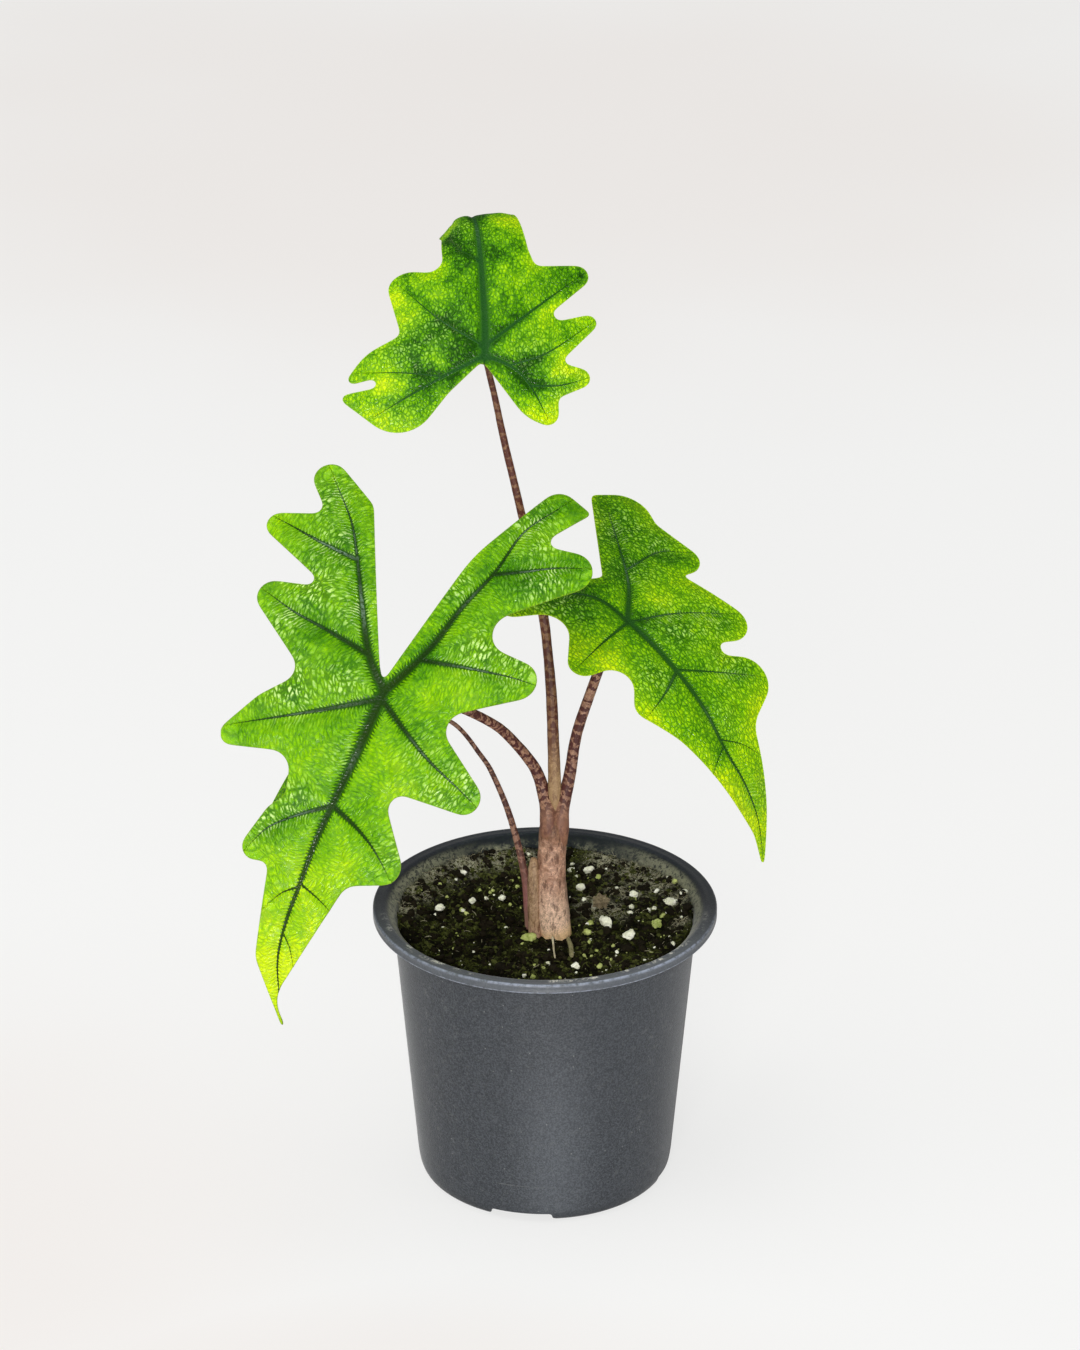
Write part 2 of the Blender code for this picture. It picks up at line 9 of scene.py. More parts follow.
import logging
import math
from contextlib import contextmanager
from dataclasses import dataclass
from enum import Enum
from types import SimpleNamespace
from typing import Callable, Iterator, Sequence

import bpy
import numpy as np
from mathutils import Euler, Matrix, Vector, noise

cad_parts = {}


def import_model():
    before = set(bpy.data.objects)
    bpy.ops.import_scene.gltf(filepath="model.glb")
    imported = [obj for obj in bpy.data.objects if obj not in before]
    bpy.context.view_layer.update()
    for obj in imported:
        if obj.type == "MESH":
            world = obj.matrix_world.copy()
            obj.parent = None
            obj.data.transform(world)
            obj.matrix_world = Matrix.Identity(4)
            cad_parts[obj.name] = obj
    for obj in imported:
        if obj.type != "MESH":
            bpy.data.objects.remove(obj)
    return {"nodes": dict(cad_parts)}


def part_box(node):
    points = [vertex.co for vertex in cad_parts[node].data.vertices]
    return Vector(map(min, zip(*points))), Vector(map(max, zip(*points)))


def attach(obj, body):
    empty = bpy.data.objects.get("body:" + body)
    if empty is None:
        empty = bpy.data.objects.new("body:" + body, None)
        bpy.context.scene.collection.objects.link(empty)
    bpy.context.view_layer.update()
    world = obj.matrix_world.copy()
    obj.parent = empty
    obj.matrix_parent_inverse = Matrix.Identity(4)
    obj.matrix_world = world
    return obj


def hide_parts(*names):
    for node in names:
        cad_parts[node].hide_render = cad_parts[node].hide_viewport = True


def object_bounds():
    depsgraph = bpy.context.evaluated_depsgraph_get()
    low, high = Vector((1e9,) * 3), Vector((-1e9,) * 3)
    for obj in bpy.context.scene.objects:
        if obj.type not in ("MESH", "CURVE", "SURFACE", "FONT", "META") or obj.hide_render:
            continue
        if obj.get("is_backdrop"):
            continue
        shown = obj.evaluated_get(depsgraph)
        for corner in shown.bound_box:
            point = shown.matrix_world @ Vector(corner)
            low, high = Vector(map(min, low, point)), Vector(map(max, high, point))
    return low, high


logging.basicConfig(level=logging.INFO, format="%(levelname)s %(name)s: %(message)s")
LOG = logging.getLogger("potted_alocasia")

MM = 0.001

Rgb = tuple[float, float, float]
Profile = Sequence[tuple[float, float]]


def tint(red: int, green: int, blue: int) -> Rgb:
    """A colour as a paint chart gives it, 0 to 255, as the shader's linear colour."""
    return tuple(
        c / 12.92 if c <= 0.04045 else ((c + 0.055) / 1.055) ** 2.4
        for c in (red / 255, green / 255, blue / 255)
    )


# Modelling by hand


def select_only(*objects: bpy.types.Object) -> None:
    """Selects these objects alone.

    Args:
        objects: the objects, the first of which becomes the active one.
    """
    bpy.ops.object.select_all(action="DESELECT")
    for obj in objects:
        obj.select_set(True)
    bpy.context.view_layer.objects.active = objects[0]


@contextmanager
def edit_mode(obj: bpy.types.Object, start: str | None = "SELECT") -> Iterator[None]:
    """Edit mode on one object.

    Args:
        obj: the object to edit.
        start: SELECT or DESELECT for all of its mesh, or None to keep its selection.

    Yields:
        Nothing, for as long as edit mode lasts.
    """
    select_only(obj)
    bpy.ops.object.mode_set(mode="EDIT")
    if start:
        bpy.ops.mesh.select_all(action=start)
    yield
    bpy.ops.object.mode_set(mode="OBJECT")


def extrude(x: float, y: float, z: float) -> None:
    """Draws the selected faces out by this step, in millimetres, in edit mode."""
    step = (x * MM, y * MM, z * MM)
    bpy.ops.mesh.extrude_region_move(TRANSFORM_OT_translate={"value": step})


def face_out() -> None:
    """Turns every face of the mesh in edit mode outwards."""
    bpy.ops.mesh.select_all(action="SELECT")
    bpy.ops.mesh.normals_make_consistent(inside=False)


def select_points(obj: bpy.types.Object, chosen: np.ndarray) -> None:
    """Selects these points of a mesh, and the edges and faces that lie wholly in them.

    Args:
        obj: the object, in object mode.
        chosen: one truth value for each point.
    """
    mesh = obj.data
    mesh.vertices.foreach_set("select", chosen)
    for elements in (mesh.edges, mesh.polygons):
        for element in elements:
            element.select = all(chosen[index] for index in element.vertices)


def apply_modifier(obj: bpy.types.Object, kind: str, **settings: object) -> None:
    """Adds a modifier with these settings and applies it.

    Args:
        obj: the object it works on.
        kind: Blender's name for the modifier.
        settings: its settings by name.
    """
    modifier = obj.modifiers.new(kind.lower(), kind)
    for name, value in settings.items():
        setattr(modifier, name, value)
    select_only(obj)
    bpy.ops.object.modifier_apply(modifier=modifier.name)


def combine(obj: bpy.types.Object, other: bpy.types.Object, operation: str) -> None:
    """Joins, cuts or crosses an object with another one, which is used up."""
    apply_modifier(obj, "BOOLEAN", operation=operation, object=other, solver="EXACT")
    bpy.data.objects.remove(other, do_unlink=True)


def apply_place(obj: bpy.types.Object) -> None:
    """Puts the object's place, turn and size into its mesh."""
    select_only(obj)
    bpy.ops.object.transform_apply(location=True, rotation=True, scale=True)


def points_of(obj: bpy.types.Object) -> np.ndarray:
    """Where the mesh's points are.

    Args:
        obj: the object.

    Returns:
        Their places in millimetres, one row each.
    """
    points = np.empty(len(obj.data.vertices) * 3)
    obj.data.vertices.foreach_get("co", points)
    return points.reshape(-1, 3) / MM


def move_points(obj: bpy.types.Object, points: np.ndarray) -> None:
    """Moves the mesh's points to these places, in millimetres."""
    obj.data.vertices.foreach_set("co", (points * MM).ravel())
    obj.data.update()


def point_values(obj: bpy.types.Object, **values: np.ndarray) -> None:
    """Gives every point of the mesh numbers that a finish can read.

    Args:
        obj: the object.
        values: the numbers by attribute name.
    """
    for name, numbers in values.items():
        made = obj.data.attributes.new(name, "FLOAT", "POINT")
        made.data.foreach_set("value", np.asarray(numbers, np.float32))


def unit(rows: np.ndarray) -> np.ndarray:
    """These vectors, one a row, each made one long."""
    return rows / np.linalg.norm(rows, axis=-1, keepdims=True)


def run_lengths(line: np.ndarray) -> np.ndarray:
    """How far along a line each of its points is."""
    return np.concatenate([[0.0], np.cumsum(np.linalg.norm(np.diff(line, axis=0), axis=1))])


def seat(
    obj: bpy.types.Object,
    name: str,
    slot: str,
    finishes: Sequence["Finish"],
    replaces: Sequence[str] = (),
    crease: float = 40.0,
) -> None:
    """Finishes a piece and hangs it on the frame.

    Args:
        obj: the piece, whose place is in its mesh.
        name: the piece's name.
        slot: the name of a material slot; it is not used.
        finishes: its finishes, in slot order, or none where it wears them already.
        replaces: the solids it stands for.
        crease: the angle in degrees from which an edge stays sharp.
    """
    obj.name = obj.data.name = name
    for finish in finishes:
        obj.data.materials.append(finish.material())
    select_only(obj)
    bpy.ops.object.shade_smooth_by_angle(angle=math.radians(crease))
    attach(obj, "root")
    if replaces:
        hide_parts(*replaces)
    LOG.info("%s: %d faces, rides on root", name, len(obj.data.polygons))


# Nodes


def arithmetic(operation: str, swapped: bool = False) -> Callable:
    """A method of Signal for one operator.

    Args:
        operation: the Math node's operation.
        swapped: whether the other number comes first.

    Returns:
        The method.
    """
    return lambda self, other: self.bench.calc(operation, *((other, self) if swapped else (self, other)))


@dataclass(frozen=True)
class Signal:
    """What a node puts out, which adds and multiplies like a number."""

    bench: "Bench"
    socket: bpy.types.NodeSocket

    __add__ = __radd__ = arithmetic("ADD")
    __mul__ = __rmul__ = arithmetic("MULTIPLY")
    __sub__, __rsub__ = arithmetic("SUBTRACT"), arithmetic("SUBTRACT", swapped=True)
    __truediv__, __rtruediv__ = arithmetic("DIVIDE"), arithmetic("DIVIDE", swapped=True)


Feed = float | tuple | Signal


@dataclass(frozen=True)
class Bench:
    """Puts nodes into one shader tree and joins them."""

    tree: bpy.types.NodeTree

    def feed(self, socket: bpy.types.NodeSocket, value: Feed) -> None:
        """Joins a signal to an input, or sets the input.

        Args:
            socket: the input.
            value: a signal, a number, a vector or a colour.
        """
        if isinstance(value, Signal):
            self.tree.links.new(value.socket, socket)
        elif socket.type == "RGBA":
            socket.default_value = (*value[:3], 1.0)
        else:
            socket.default_value = value

    def fill(self, node: bpy.types.Node, **feeds: Feed) -> bpy.types.Node:
        """Feeds a node's inputs.

        Args:
            node: the node.
            feeds: its inputs by name, with _ for a space.

        Returns:
            The node.
        """
        for name, value in feeds.items():
            self.feed(node.inputs[name.replace("_", " ")], value)
        return node

    def node(self, kind: str, settings: dict | None = None, **feeds: Feed) -> bpy.types.Node:
        """A new node.

        Args:
            kind: the node type without its ShaderNode prefix.
            settings: its properties.
            feeds: its inputs by name, with _ for a space.

        Returns:
            The node.
        """
        made = self.tree.nodes.new("ShaderNode" + kind)
        for name, value in (settings or {}).items():
            setattr(made, name, value)
        return self.fill(made, **feeds)

    def inline(self, kind: str, settings: dict, feeds: Sequence[Feed], output: int | str = 0) -> Signal:
        """Makes a node whose inputs are fed in their order.

        Args:
            kind: the node type without its ShaderNode prefix.
            settings: its properties.
            feeds: its inputs.
            output: which output to give.

        Returns:
            That output.
        """
        made = self.node(kind, settings)
        for socket, value in zip(made.inputs, feeds):
            self.feed(socket, value)
        return Signal(self, made.outputs[output])

    def outs(self, node: bpy.types.Node) -> SimpleNamespace:
        """A node's outputs by their names in small letters."""
        return SimpleNamespace(
            **{socket.name.lower().replace(" ", "_"): Signal(self, socket) for socket in node.outputs}
        )

    def calc(self, operation: str, *values: Feed, clamp: bool = False) -> Signal:
        """The result of a Math node."""
        return self.inline("Math", {"operation": operation, "use_clamp": clamp}, values)

    def larger(self, first: Feed, second: Feed) -> Signal:
        """The larger of two numbers."""
        return self.calc("MAXIMUM", first, second)

    def vector(self, operation: str, *values: Feed, output: int | str = 0) -> Signal:
        """The result of a Vector Math node."""
        return self.inline("VectorMath", {"operation": operation}, values, output)

    def ease(self, value: Feed, start: Feed, end: Feed) -> Signal:
        """A smooth step from 0 at start to 1 at end."""
        return self.inline("MapRange", {"interpolation_type": "SMOOTHSTEP"}, (value, start, end, 0.0, 1.0))

    def near(self, value: Signal, middle: float, reach: float) -> Signal:
        """A soft mask that is 1 at the middle value and 0 beyond its reach."""
        return self.ease(self.calc("ABSOLUTE", value - middle), reach, 0.0)

    def wave(self, turns: Signal) -> Signal:
        """A wave from 0 to 1, once up and down in each whole turn."""
        return self.calc("SINE", turns * math.tau) * 0.5 + 0.5

    def coats(self, colour: Feed, *coats: tuple[Feed, Feed]) -> Signal:
        """Lays colours over one another.

        Args:
            colour: the lowest one.
            coats: (share, colour) of each one over it, in order.

        Returns:
            The colour.
        """
        for share, paint in coats:
            made = self.node("Mix", {"data_type": "RGBA", "clamp_factor": True})
            for socket, value in zip((made.inputs[0], *made.inputs[6:8]), (share, colour, paint)):
                self.feed(socket, value)
            colour = Signal(self, made.outputs[2])
        return colour

    def ramp(self, value: Feed, *stops: tuple[float, Rgb]) -> Signal:
        """Reads a colour from a ramp.

        Args:
            value: where to read it.
            stops: (place, colour) of each stop.

        Returns:
            The colour.
        """
        made = self.node("ValToRGB", Fac=value)
        elements = made.color_ramp.elements
        while len(elements) < len(stops):
            elements.new(1.0)
        for element, (place, colour) in zip(elements, stops):
            element.position, element.color = place, (*colour, 1.0)
        return Signal(self, made.outputs[0])

    def cloud(self, vector: Feed, scale: Feed, detail: float, rough: float, twist: float = 0.0) -> Signal:
        """Soft noise from 0 to 1."""
        feeds = {"Scale": scale, "Detail": detail, "Roughness": rough, "Distortion": twist}
        return Signal(self, self.node("TexNoise", Vector=vector, **feeds).outputs[0])

    def patchy(self, vector: Feed, *grain: float, low: float, high: float) -> Signal:
        """Soft-edged patches, where a cloud of this grain passes from its low to its high mark."""
        return self.ease(self.cloud(vector, *grain), low, high)

    def cells(self, vector: Feed, scale: Feed, feature: str = "F1") -> SimpleNamespace:
        """The outputs of a Voronoi node."""
        return self.outs(self.node("TexVoronoi", {"feature": feature}, Vector=vector, Scale=scale))

    def split(self, vector: Feed) -> SimpleNamespace:
        """A vector's x, y and z."""
        return self.outs(self.node("SeparateXYZ", Vector=vector))

    def stretched(self, vector: Feed, scale: Feed) -> Signal:
        """A vector with its axes scaled."""
        return Signal(self, self.node("Mapping", Vector=vector, Scale=scale).outputs[0])

    def attribute(self, name: str) -> Signal:
        """A number that the mesh carries."""
        return Signal(self, self.node("Attribute", {"attribute_name": name}).outputs["Fac"])

    def uv(self, name: str) -> Signal:
        """A UV map that the mesh carries."""
        return Signal(self, self.node("UVMap", {"uv_map": name}).outputs[0])

    def place(self) -> Signal:
        """The place on the object, in millimetres."""
        place = self.outs(self.node("TexCoord")).object
        return self.outs(self.node("VectorMath", {"operation": "SCALE"}, Vector=place, Scale=1 / MM)).vector

    def use(self, group: Callable, **feeds: Feed) -> SimpleNamespace:
        """Places a shared group.

        Args:
            group: the function that gives it.
            feeds: its inputs by name.

        Returns:
            Its outputs.
        """
        made = self.tree.nodes.new("ShaderNodeGroup")
        made.node_tree = group()
        for name, value in feeds.items():
            self.feed(made.inputs[name], value)
        return self.outs(made)

    def bump(self, height: Feed, depth: float) -> Signal:
        """A normal from a height, whose whole range is this many millimetres deep."""
        return Signal(self, self.node("Bump", Height=height, Distance=depth * MM).outputs[0])


def shared_group(title: str, **starts: float | None) -> Callable:
    """Makes a function that wires nodes into one that gives a shader group, built on first use.

    Args:
        title: the group's name.
        starts: each input's name and what it starts as: a number, or None for a vector.

    Returns:
        The decorator. The function it takes gives the group's outputs by name.
    """

    def decorate(wire: Callable) -> Callable:
        """Wraps a wiring function.

        Args:
            wire: the function, which takes the group's bench and its inputs.

        Returns:
            The function that gives the group.
        """

        def group() -> bpy.types.NodeTree:
            """Finds the group, or wires it.

            Returns:
                The group.
            """
            found = bpy.data.node_groups.get(title)
            if found:
                return found
            tree = bpy.data.node_groups.new(title, "ShaderNodeTree")
            for name, start in starts.items():
                kind = "NodeSocketVector" if start is None else "NodeSocketFloat"
                made = tree.interface.new_socket(name=name, in_out="INPUT", socket_type=kind)
                if start is not None:
                    made.default_value = start
            bench = Bench(tree)
            results = wire(bench, bench.outs(tree.nodes.new("NodeGroupInput")))
            for name in results:
                tree.interface.new_socket(name=name, in_out="OUTPUT", socket_type="NodeSocketFloat")
            bench.fill(tree.nodes.new("NodeGroupOutput"), **results)
            return tree

        return group

    return decorate


@shared_group("Mottle", place=None, size=6.0, contrast=2.0)
def mottle(bench: Bench, given: SimpleNamespace) -> dict[str, Signal]:
    """Soft patches of two sizes, from 0 to 1 with the given contrast.

    Args:
        bench: the group's bench.
        given: its inputs by name.

    Returns:
        Its outputs by name.
    """
    broad = bench.cloud(given.place, 1.0 / given.size, 2.0, 0.5, 0.6)
    close = bench.cloud(given.place, 4.3 / given.size, 3.0, 0.6)
    both = broad * 0.66 + close * 0.34
    return {"patches": bench.calc("MULTIPLY_ADD", both - 0.5, given.contrast, 0.5, clamp=True)}


@shared_group("Specks", place=None, spacing=2.0, radius=0.2, share=0.5)
def specks(bench: Bench, given: SimpleNamespace) -> dict[str, Signal]:
    """Scattered small specks, such as dust or flecks in a skin.

    Args:
        bench: the group's bench.
        given: its inputs by name.

    Returns:
        Its outputs by name.
    """
    spots = bench.cells(given.place, 1.0 / given.spacing)
    near = bench.ease(spots.distance, given.radius, given.radius * 0.4)
    chance = bench.outs(bench.node("SeparateColor", Color=spots.color)).red
    return {"specks": near * bench.calc("LESS_THAN", chance, given.share)}


@shared_group("Fine grain", place=None, size=0.5)
def fine_grain(bench: Bench, given: SimpleNamespace) -> dict[str, Signal]:
    """The fine uneven grain of a moulded, dry or fibrous surface.

    Args:
        bench: the group's bench.
        given: its inputs by name.

    Returns:
        Its outputs by name.
    """
    fine = bench.cloud(given.place, 1.0 / given.size, 4.0, 0.7)
    pits = bench.cells(given.place, 0.8 / given.size).distance
    return {"height": fine * 0.6 + pits * 0.4}


@shared_group("Stalk bands", place=None, along=0.0, spacing=3.2)
def stalk_bands(bench: Bench, given: SimpleNamespace) -> dict[str, Signal]:
    """The broken dark cross-bands of the stalks.

    Args:
        bench: the group's bench.
        given: its inputs by name.

    Returns:
        Its outputs by name.
    """
    wobble = bench.cloud(given.place, 0.42, 2.0, 0.6)
    wave = bench.wave(given.along / given.spacing + wobble * 2.6)
    frayed = (bench.cloud(given.place, 1.1, 4.0, 0.75) - 0.5) * 2.2
    return {"bands": bench.ease(wave + frayed, 0.30, 0.62)}


@shared_group(
    "Vein ribs", plan=None, along=0.0, away=0.0, width=0.6, reach=4.0, lean=0.45, spacing=1.05, feather=1.2
)
def vein_ribs(bench: Bench, given: SimpleNamespace) -> dict[str, Signal]:
    """A vein with its feathered edge and the fine ribs that leave it on both sides.

    Args:
        bench: the group's bench.
        given: its inputs by name.

    Returns:
        Its outputs by name.
    """
    away = bench.calc("ABSOLUTE", given.away)
    wobble = bench.cloud(given.plan, 0.30, 2.0, 0.55)
    wave = bench.wave((given.along - away * given.lean) / given.spacing + wobble * 2.2)
    reach = given.reach * (bench.cloud(given.plan, 0.40, 2.0, 0.6) * 2.0)
    zone = bench.ease(away, reach, reach * 0.35)
    gap = bench.calc("POWER", 1.0 - wave, 2.2)
    comb = gap * (given.width * given.feather)
    return {
        "vein": bench.ease(away - comb, given.width * 1.3, given.width * 0.85),
        "core": bench.ease(away, given.width, given.width * 0.40),
        "ribs": wave * zone,
        "gaps": gap * zone,
        "zone": zone,
    }


@shared_group("Vein net", plan=None, comb=None, cell=1.9, draw=0.46)
def vein_net(bench: Bench, given: SimpleNamespace) -> dict[str, Signal]:
    """The net of the smallest veins, the little domes between them, and the cell tops where glints are
    painted.

    Args:
        bench: the group's bench.
        given: its inputs by name.

    Returns:
        Its outputs by name.
    """
    twist = bench.outs(bench.node("TexNoise", Vector=given.plan, Scale=0.5, Detail=2.0)).color
    plan = bench.vector("MULTIPLY_ADD", twist, (1.6, 1.6, 0.0), given.plan)
    comb = bench.vector("MULTIPLY_ADD", twist, (0.7, 0.9, 0.0), given.comb)
    drawn = bench.stretched(comb, bench.outs(bench.node("CombineXYZ", X=1.5, Y=given.draw, Z=1.0)).vector)
    large = bench.cells(drawn, 1.0 / given.cell, "DISTANCE_TO_EDGE").distance
    small = bench.cells(plan, 2.1 / given.cell, "DISTANCE_TO_EDGE").distance
    return {
        "lines": bench.larger(bench.ease(large, 0.17, 0.03), bench.ease(small, 0.14, 0.02) * 0.35),
        "domes": bench.ease(large, 0.0, 0.30) + bench.ease(small, 0.0, 0.3) * 0.25,
        "glints": bench.ease(large, 0.10, 0.24),
    }


# Finishes


@dataclass(frozen=True)
class Finish:
    """A finish that is built once and shared by the pieces that wear it."""

    name: str

    def dress(self, bench: Bench) -> dict[str, Feed]:
        """Wires the finish and returns the Principled shader's inputs, with _ for a space."""
        raise NotImplementedError

    def material(self) -> bpy.types.Material:
        """Finds the finish's material, or makes it.

        Returns:
            The material.
        """
        found = bpy.data.materials.get(self.name)
        if found:
            return found
        made = bpy.data.materials.new(self.name)
        made.use_nodes = True
        bench = Bench(made.node_tree)
        bench.fill(made.node_tree.nodes["Principled BSDF"], **self.dress(bench))
        return made


class LeafSide(Enum):
    """The two faces of a leaf blade."""

    UPPER = "upper"
    UNDER = "under"


@dataclass(frozen=True)
class LeafSkin(Finish):
    """The quilted, veined skin of a leaf, from deep green through lime to yellow."""

    side: LeafSide = LeafSide.UPPER
    deepest: Rgb = tint(24, 70, 2)
    deep: Rgb = tint(70, 134, 0)
    lime: Rgb = tint(114, 176, 0)
    bright: Rgb = tint(152, 203, 0)
    yellow: Rgb = tint(202, 230, 0)
    vein: Rgb = tint(18, 44, 6)
    fringe: Rgb = tint(32, 80, 2)
    # Colours of the painted highlights: pale glints on the ribs and domes, and a grey sheen on the vein
    # cores.
    gloss: Rgb = tint(214, 240, 158)
    vein_highlight: Rgb = tint(122, 150, 128)
    margin: Rgb = tint(118, 140, 30)
    under: Rgb = tint(146, 176, 96)
    under_line: Rgb = tint(70, 112, 40)
    under_vein: Rgb = tint(168, 168, 112)
    feather: float = 0.8
    rib_paint: float = 0.34
    net_paint: float = 0.30
    broad: float = 0.54
    flecks: float = 0.56
    fleck_scale: float = 0.8
    painted_glint_strength: float = 0.88
    cell: float = 1.55
    draw: float = 0.52
    quilt: float = 0.08
    combed: bool = True

    def masks(self, bench: Bench) -> SimpleNamespace:
        """Wires what both faces share.

        Args:
            bench: the material's bench.

        Returns:
            The veins, the net, the painted highlight zones, the green before its veins and the fine lines'
            shade.
        """
        plan, comb = bench.uv("leaf_plan"), bench.uv("rib_plan")
        width, reach, shine = (bench.attribute(name) for name in ("vein_width", "rib_reach", "shine"))
        axes = bench.split(comb)
        ribs = bench.use(
            vein_ribs, plan=plan, along=axes.x, away=axes.y, width=width, reach=reach, feather=self.feather
        )
        way = comb if self.combed else plan
        net = bench.use(vein_net, plan=plan, comb=way, cell=self.cell, draw=self.draw)
        patches = bench.use(mottle, place=plan, size=9.0, contrast=1.5).patches
        flecks = bench.cloud(plan, self.fleck_scale, 4.0, 0.65)
        tone = bench.attribute("tone") * 0.34 + 0.5 + (patches - 0.5) * self.broad
        tone = tone + (flecks - 0.5) * self.flecks + (net.domes - 0.7) * self.quilt
        greens = (self.deepest, self.deep, self.lime, self.bright, self.yellow)
        green = bench.ramp(tone, *zip((0.05, 0.30, 0.50, 0.72, 0.98), greens))
        # Inside the painted highlight zones the net lines are drawn darker too.
        lines = net.lines * (1.0 - ribs.zone * 0.6) * self.net_paint * (shine * 1.2 + 1.0)
        shade = bench.larger(lines, ribs.gaps * self.rib_paint)
        return SimpleNamespace(plan=plan, ribs=ribs, net=net, shine=shine, green=green, shade=shade)

    def upper_paint(self, bench: Bench, masks: SimpleNamespace) -> Signal:
        """The upper face's colour: dark veins and lines, with painted highlights where the leaf's highlight
        zones lie.

        Args:
            bench: the material's bench.
            masks: what both faces share.

        Returns:
            The colour.
        """
        plan, ribs, gloss = masks.plan, masks.ribs, masks.shine * self.painted_glint_strength
        # Painted highlights: pale glints on the rib crests and on the domes between the ribs, in clusters,
        # strongest in the painted highlight zones.
        glint_clusters = bench.patchy(plan, 0.42, 4.0, 0.7, low=0.42, high=0.60)
        glints = bench.larger(bench.ease(ribs.ribs, 0.45, 0.90), (1.0 - ribs.zone) * masks.net.glints)
        lit = bench.calc("MULTIPLY", glints * glint_clusters, gloss, clamp=True)
        edge = bench.ease(bench.attribute("edge"), 0.45, 0.05)
        # A painted highlight along the vein cores, in patches, in the painted highlight zones.
        vein_highlight_patches = bench.patchy(plan, 1.1, 3.0, 0.7, low=0.36, high=0.58)
        painted_vein_highlight = bench.ease(ribs.core, 0.55, 1.0) * gloss * vein_highlight_patches
        dark = bench.coats(self.fringe, (ribs.core, self.vein), (painted_vein_highlight, self.vein_highlight))
        return bench.coats(
            masks.green,
            (masks.shade, self.deepest),
            (lit, self.gloss),
            (edge * 0.6, self.margin),
            (ribs.vein * 0.95, dark),
        )

    def dress(self, bench: Bench) -> dict[str, Feed]:
        """Wires the glossy upper face, or the paler, matt underside, whose veins are raised and light.

        Args:
            bench: the material's bench.

        Returns:
            The shader's inputs by name.
        """
        masks = self.masks(bench)
        ribs, domes, shade = masks.ribs, masks.net.domes, masks.shade
        if self.side is LeafSide.UNDER:
            veined = ((shade * 0.6, self.under_line), (ribs.vein * 0.9, self.under_vein))
            return {
                "Base_Color": bench.coats(masks.green, (0.42, self.under), *veined),
                "Normal": bench.bump(shade * 1.2 - domes * 0.3, 0.20),
                "Roughness": shade * 0.10 + 0.55,
                "Specular_IOR_Level": 0.35,
            }
        fine = bench.cloud(masks.plan, 3.0, 3.0, 0.6) * 0.10
        raised = ribs.ribs * 0.75 + domes * (0.50 - ribs.zone * 0.34) + fine
        return {
            "Base_Color": self.upper_paint(bench, masks),
            "Normal": bench.bump(raised * (1.0 - ribs.vein * 0.6) + ribs.core * 0.7, 0.32),
            "Roughness": shade * 0.30 + 0.24,
            "Specular_IOR_Level": 0.22,
        }


@dataclass(frozen=True)
class StalkSkin(Finish):
    """The banded skin of a leaf stalk or of the stem."""

    ground: Rgb = tint(186, 146, 120)
    second: Rgb = tint(146, 104, 82)
    band: Rgb = tint(78, 36, 34)
    spacing: float = 3.4
    strength: float = 0.85
    foot: Rgb = tint(170, 120, 100)
    low: Rgb = tint(158, 116, 94)
    low_end: float = 6.0
    specks: float = 0.5
    crown: Rgb = tint(112, 76, 54)
    crown_start: float = 1000.0

    def dress(self, bench: Bench) -> dict[str, Feed]:
        """Wires the bands, blots and streaks, with paler feet and a darker crown.

        Args:
            bench: the material's bench.

        Returns:
            The shader's inputs by name.
        """
        place, along = bench.place(), bench.attribute("along")
        patches = bench.use(mottle, place=place, size=3.0, contrast=2.4).patches
        bands = bench.use(stalk_bands, place=place, along=along, spacing=self.spacing).bands
        drawn_out = bench.stretched(place, (1.0, 1.0, 0.4))
        fine = bench.patchy(place, 1.9, 4.0, 0.75, low=0.46, high=0.60) * 0.55
        broad = bench.patchy(drawn_out, 0.7, 5.0, 0.8, low=0.47, high=0.60) * 0.85
        low = bench.ease(along, self.low_end * 1.4, self.low_end * 0.6)
        foot = bench.ease(along, self.low_end * 0.6, self.low_end * 0.35)
        crown = bench.ease(along, self.crown_start, self.crown_start + 9.0)
        blots = bench.larger(fine, broad) * ((foot * -0.4 + 1.0) * self.specks)
        marks = bench.larger(bands * ((low * -0.75 + 1.0) * self.strength), blots)
        coats = (
            (patches, self.second),
            (low, self.low),
            (foot, self.foot),
            (crown, self.crown),
            (marks, self.band),
        )
        streaks = bench.calc("SINE", bench.attribute("around") * 9.0 + patches * 3.0) * 0.22
        grain = bench.use(fine_grain, place=place, size=0.45).height
        return {
            "Base_Color": bench.coats(self.ground, *coats),
            "Normal": bench.bump(grain + streaks, 0.12),
            "Roughness": patches * 0.16 + 0.46,
            "Specular_IOR_Level": 0.25,
        }


